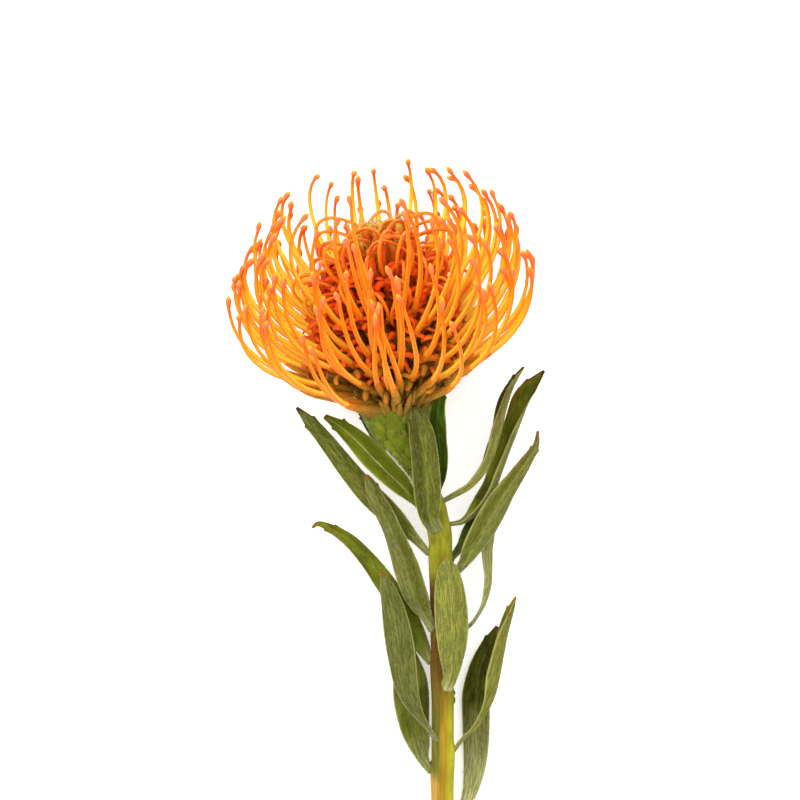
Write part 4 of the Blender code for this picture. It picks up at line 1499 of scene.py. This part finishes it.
def leaf_skin_group():
    """Colour and relief of a blade from its marks: its faces, edges, rib, foot and tip."""
    titles = ("Outer dark", "Outer light", "Inner dark", "Inner light", "Tip")
    group, entry, end = new_group(
        "Leaf skin",
        [(title, COLOUR, (0.2, 0.2, 0.05, 1)) for title in titles]
        + [(title, VALUE, value) for title, value in SKIN_VALUES.items()],
        [("Colour", COLOUR), ("Height", VALUE)],
    )
    take = entry.outputs
    streaks = effect(group, STREAKS, 0.36)
    crumple = effect(group, BLOTCHES, 0.5)
    blotches = effect(group, BLOTCHES, 4.5)
    along = mark(group, "along")
    across = mark(group, "across")
    from_rib = calculate(group, "MAXIMUM", across, times(group, across, -1.0))

    outer = blend_colour(group, streaks, take["Outer dark"], take["Outer light"])
    outer = paint(group, outer, take["Outer light"], effect(group, STREAKS, 0.22), 0.25)
    outer = paint(group, outer, take["Outer dark"], blotches, 0.5)
    outer = paint(group, outer, take["Outer light"], crumple, 0.2)
    inner = blend_colour(group, blotches, take["Inner dark"], take["Inner light"])
    inner = paint(group, inner, take["Outer light"], streaks, 0.15)
    skin = blend_colour(group, stretch(group, mark(group, "outer"), -0.9, 0.9), inner, outer)

    half = stretch(group, times(group, across, take["Shaded half"]), 0.02, 0.3)
    half = times(group, half, stretch(group, from_rib, 0.98, 0.6))
    skin = paint(group, skin, take["Inner dark"], half, 0.8)
    skin = paint(group, skin, (0.42, 0.41, 0.13), stretch(group, from_rib, 0.9, 0.99), 0.75)
    skin = paint(group, skin, (0.44, 0.44, 0.25), stretch(group, from_rib, 0.055, 0), take["Rib"])
    downy = blend_colour(group, streaks, (0.27, 0.27, 0.08), (0.48, 0.47, 0.22))
    skin = paint(group, skin, downy, stretch(group, along, take["Foot"], 0), take["Foot strength"])
    skin = paint(group, skin, (0.05, 0.03, 0.004), effect(group, SPECKS, 0.45), take["Specks"])
    scorched = times(
        group, stretch(group, along, 0.5, 0.95), stretch(group, from_rib, 0.55, 0.95),
        stretch(group, blotches, 0.4, 0.55),
    )
    skin = paint(group, skin, take["Tip"], scorched, take["Scorch"])
    skin = paint(group, skin, take["Tip"], mark(group, "burn"))
    link(group, skin, end.inputs["Colour"])
    link(group, calculate(group, "ADD", streaks, crumple), end.inputs["Height"])
    return group


LEAF_SKIN = leaf_skin_group()
print("group:", LEAF_SKIN.name)

# %% Leaf finish
GREEN = (0.115, 0.13, 0.006)
LEAF_LOOKS = {
    # leaf_01's inner face, which faces up, is very dark: its own dark green with painted shade of leaf_03,
    # which lies over it.
    "leaf_01": ((0.22, 0.215, 0.03), (0.038, 0.043, 0.001), (0.10, 0.04, 0.01)),
    "leaf_02": ((0.12, 0.125, 0.022), (0.11, 0.12, 0.010), (0.22, 0.08, 0.012)),
    "leaf_03": ((0.165, 0.163, 0.022), GREEN, (0.40, 0.13, 0.01)),
    "leaf_04": ((0.105, 0.112, 0.020), GREEN, (0.22, 0.09, 0.01)),
    "leaf_05": ((0.19, 0.195, 0.030), GREEN, (0.30, 0.16, 0.03)),
    "leaf_06": ((0.105, 0.112, 0.018), GREEN, (0.26, 0.07, 0.005)),
    "leaf_07": ((0.25, 0.25, 0.07), GREEN, (0.26, 0.13, 0.02)),
    "leaf_08": ((0.135, 0.14, 0.028), GREEN, (0.26, 0.09, 0.01)),
    "leaf_09": ((0.165, 0.173, 0.028), GREEN, (0.26, 0.09, 0.015)),
    "leaf_10": ((0.11, 0.12, 0.018), (0.04, 0.06, 0.003), (0.20, 0.07, 0.01)),
    "leaf_11": ((0.10, 0.11, 0.010), GREEN, (0.05, 0.016, 0.004)),
    "leaf_12": ((0.115, 0.125, 0.013), (0.08, 0.085, 0.006), (0.05, 0.014, 0.003)),
    "leaf_13": ((0.17, 0.17, 0.03), (0.11, 0.125, 0.006), (0.14, 0.03, 0.005)),
    "leaf_14": ((0.11, 0.12, 0.018), (0.12, 0.145, 0.006), (0.10, 0.03, 0.005)),
    "leaf_15": ((0.17, 0.17, 0.03), (0.06, 0.065, 0.004), (0.13, 0.03, 0.004)),
    "leaf_16": ((0.10, 0.12, 0.006), (0.028, 0.060, 0.001), (0.05, 0.06, 0.006)),
    "leaf_17": ((0.10, 0.12, 0.006), (0.05, 0.08, 0.003), (0.12, 0.06, 0.006)),
}
LEAF_EXTRAS = {
    "leaf_01": {"Foot": 0.62, "Foot strength": 1.0},
    "leaf_02": {"Foot": 0.3},
    "leaf_05": {"Foot": 0.1, "Foot strength": 1.0},
    "leaf_07": {"Foot": 0.4, "Foot strength": 0.8},
    "leaf_08": {"Shaded half": 1.0},
    "leaf_09": {"Shaded half": -0.8, "Scorch": 0.8},
    "leaf_11": {"Specks": 0.8},
    "leaf_12": {"Shaded half": -1.0, "Specks": 0.6, "Scorch": 0.5},
    "leaf_13": {"Specks": 0.8, "Scorch": 1.0},
    "leaf_14": {"Rib": 0.8, "Shaded half": -0.9},
    "leaf_15": {"Specks": 0.8, "Scorch": 1.0},
}


def leaf_finish(name):
    """The shared leaf skin with this leaf's own colours, each in a dark and a light shade."""
    material, tree, shader = new_finish(name + "_skin", 0.6, Specular_IOR_Level=0.04)
    outer_colour, inner_colour, tip_colour = LEAF_LOOKS[name]
    skin = tree.nodes.new("ShaderNodeGroup")
    skin.node_tree = LEAF_SKIN
    for side, colour in (("Outer", outer_colour), ("Inner", inner_colour)):
        dark = [0.66 * value for value in colour]
        light = [1.42 * value for value in colour[:2]] + [1.6 * colour[2]]
        skin.inputs[side + " dark"].default_value = (*dark, 1)
        skin.inputs[side + " light"].default_value = (*light, 1)
    skin.inputs["Tip"].default_value = (*tip_colour, 1)
    for title, value in {**SKIN_VALUES, **LEAF_EXTRAS.get(name, {})}.items():
        skin.inputs[title].default_value = value
    dress(tree, shader, skin.outputs["Colour"], skin.outputs["Height"], 0.0006)
    return material


print("leaf looks:", len(LEAF_LOOKS))

# %% Leaves
for blade in blades:
    name = blade.leaf.name
    material = leaf_finish(name)
    add_piece(name + "_blade", leaf_mesh(blade), [name], material)

# %% [markdown]
# Silk lies flat on the outer faces and stands out a little at the edges and at each leaf's
# foot. One upper leaf, seen from inside, has a dense white fringe along one edge as well.

# %% Silk of the leaves
EDGE_HAIRS = 150
FACE_HAIRS = 260
FOOT_HAIRS = 40
silk = []
for blade in blades:
    draw = blade.draw
    for _ in range(EDGE_HAIRS):
        t = draw.random() ** 1.3
        edge = draw.choice((-1, 1))
        root = blade.point(edge * 0.98, t, 0)
        forward = blade.point(edge, min(1, t + 0.03), 0) - root
        aside = (root - blade.point(0, t, 0)).normalized()
        reach = (forward.normalized() + aside * draw.uniform(0.1, 0.4)) * draw.uniform(0.5, 1.1)
        silk.append((root, off_floor(root + reach, 0.1), 0.035))
    for _ in range(FACE_HAIRS):
        t = draw.uniform(0, 0.93)
        u = draw.uniform(-0.93, 0.93)
        lift = LEAF_THICKNESS / 2
        root = blade.point(u, t, lift * 0.8)
        tip = blade.point(u + draw.uniform(-0.08, 0.08), t + draw.uniform(0.03, 0.06), lift * 1.3)
        silk.append((off_floor(root, 0.1), off_floor(tip, 0.1), 0.04))
    for _ in range(FOOT_HAIRS):
        root = blade.point(draw.uniform(-1, 1), draw.uniform(0, 0.07), 0)
        reach = Vector([draw.uniform(-1, 1) for _ in range(3)]) * draw.uniform(0.6, 1.5)
        silk.append((root, off_floor(root + reach, 0.1), 0.05))
silk_finish = hair_finish("silk", (0.20, 0.20, 0.05), (0.40, 0.40, 0.15))
add_piece("leaf_silk", hair_rods(silk), [leaf.name for leaf in LEAVES], silk_finish)

# %% White fringe of one leaf
FRINGE_EDGE = -1
FRINGE_HAIRS = 420
fringed = next(blade for blade in blades if blade.leaf.name == "leaf_14")
draw = fringed.draw
fringe = []
for _ in range(FRINGE_HAIRS):
    t = draw.uniform(0.02, 0.5)
    root = fringed.point(FRINGE_EDGE * 0.97, t, 0)
    aside = (root - fringed.point(0, t, 0)).normalized()
    ahead = fringed.point(FRINGE_EDGE, t + 0.03, 0) - root
    lift = Vector((0, 0, draw.uniform(-0.2, 0.5)))
    reach = (ahead.normalized() + aside * draw.uniform(0.1, 0.8) + lift) * draw.uniform(0.6, 1.5)
    fringe.append((root, off_floor(root + reach, 0.1), 0.08))
fringe_finish = hair_finish("fringe", (0.55, 0.55, 0.32), (0.85, 0.85, 0.66))
add_piece("leaf_fringe", hair_rods(fringe), ["leaf_14"], fringe_finish)
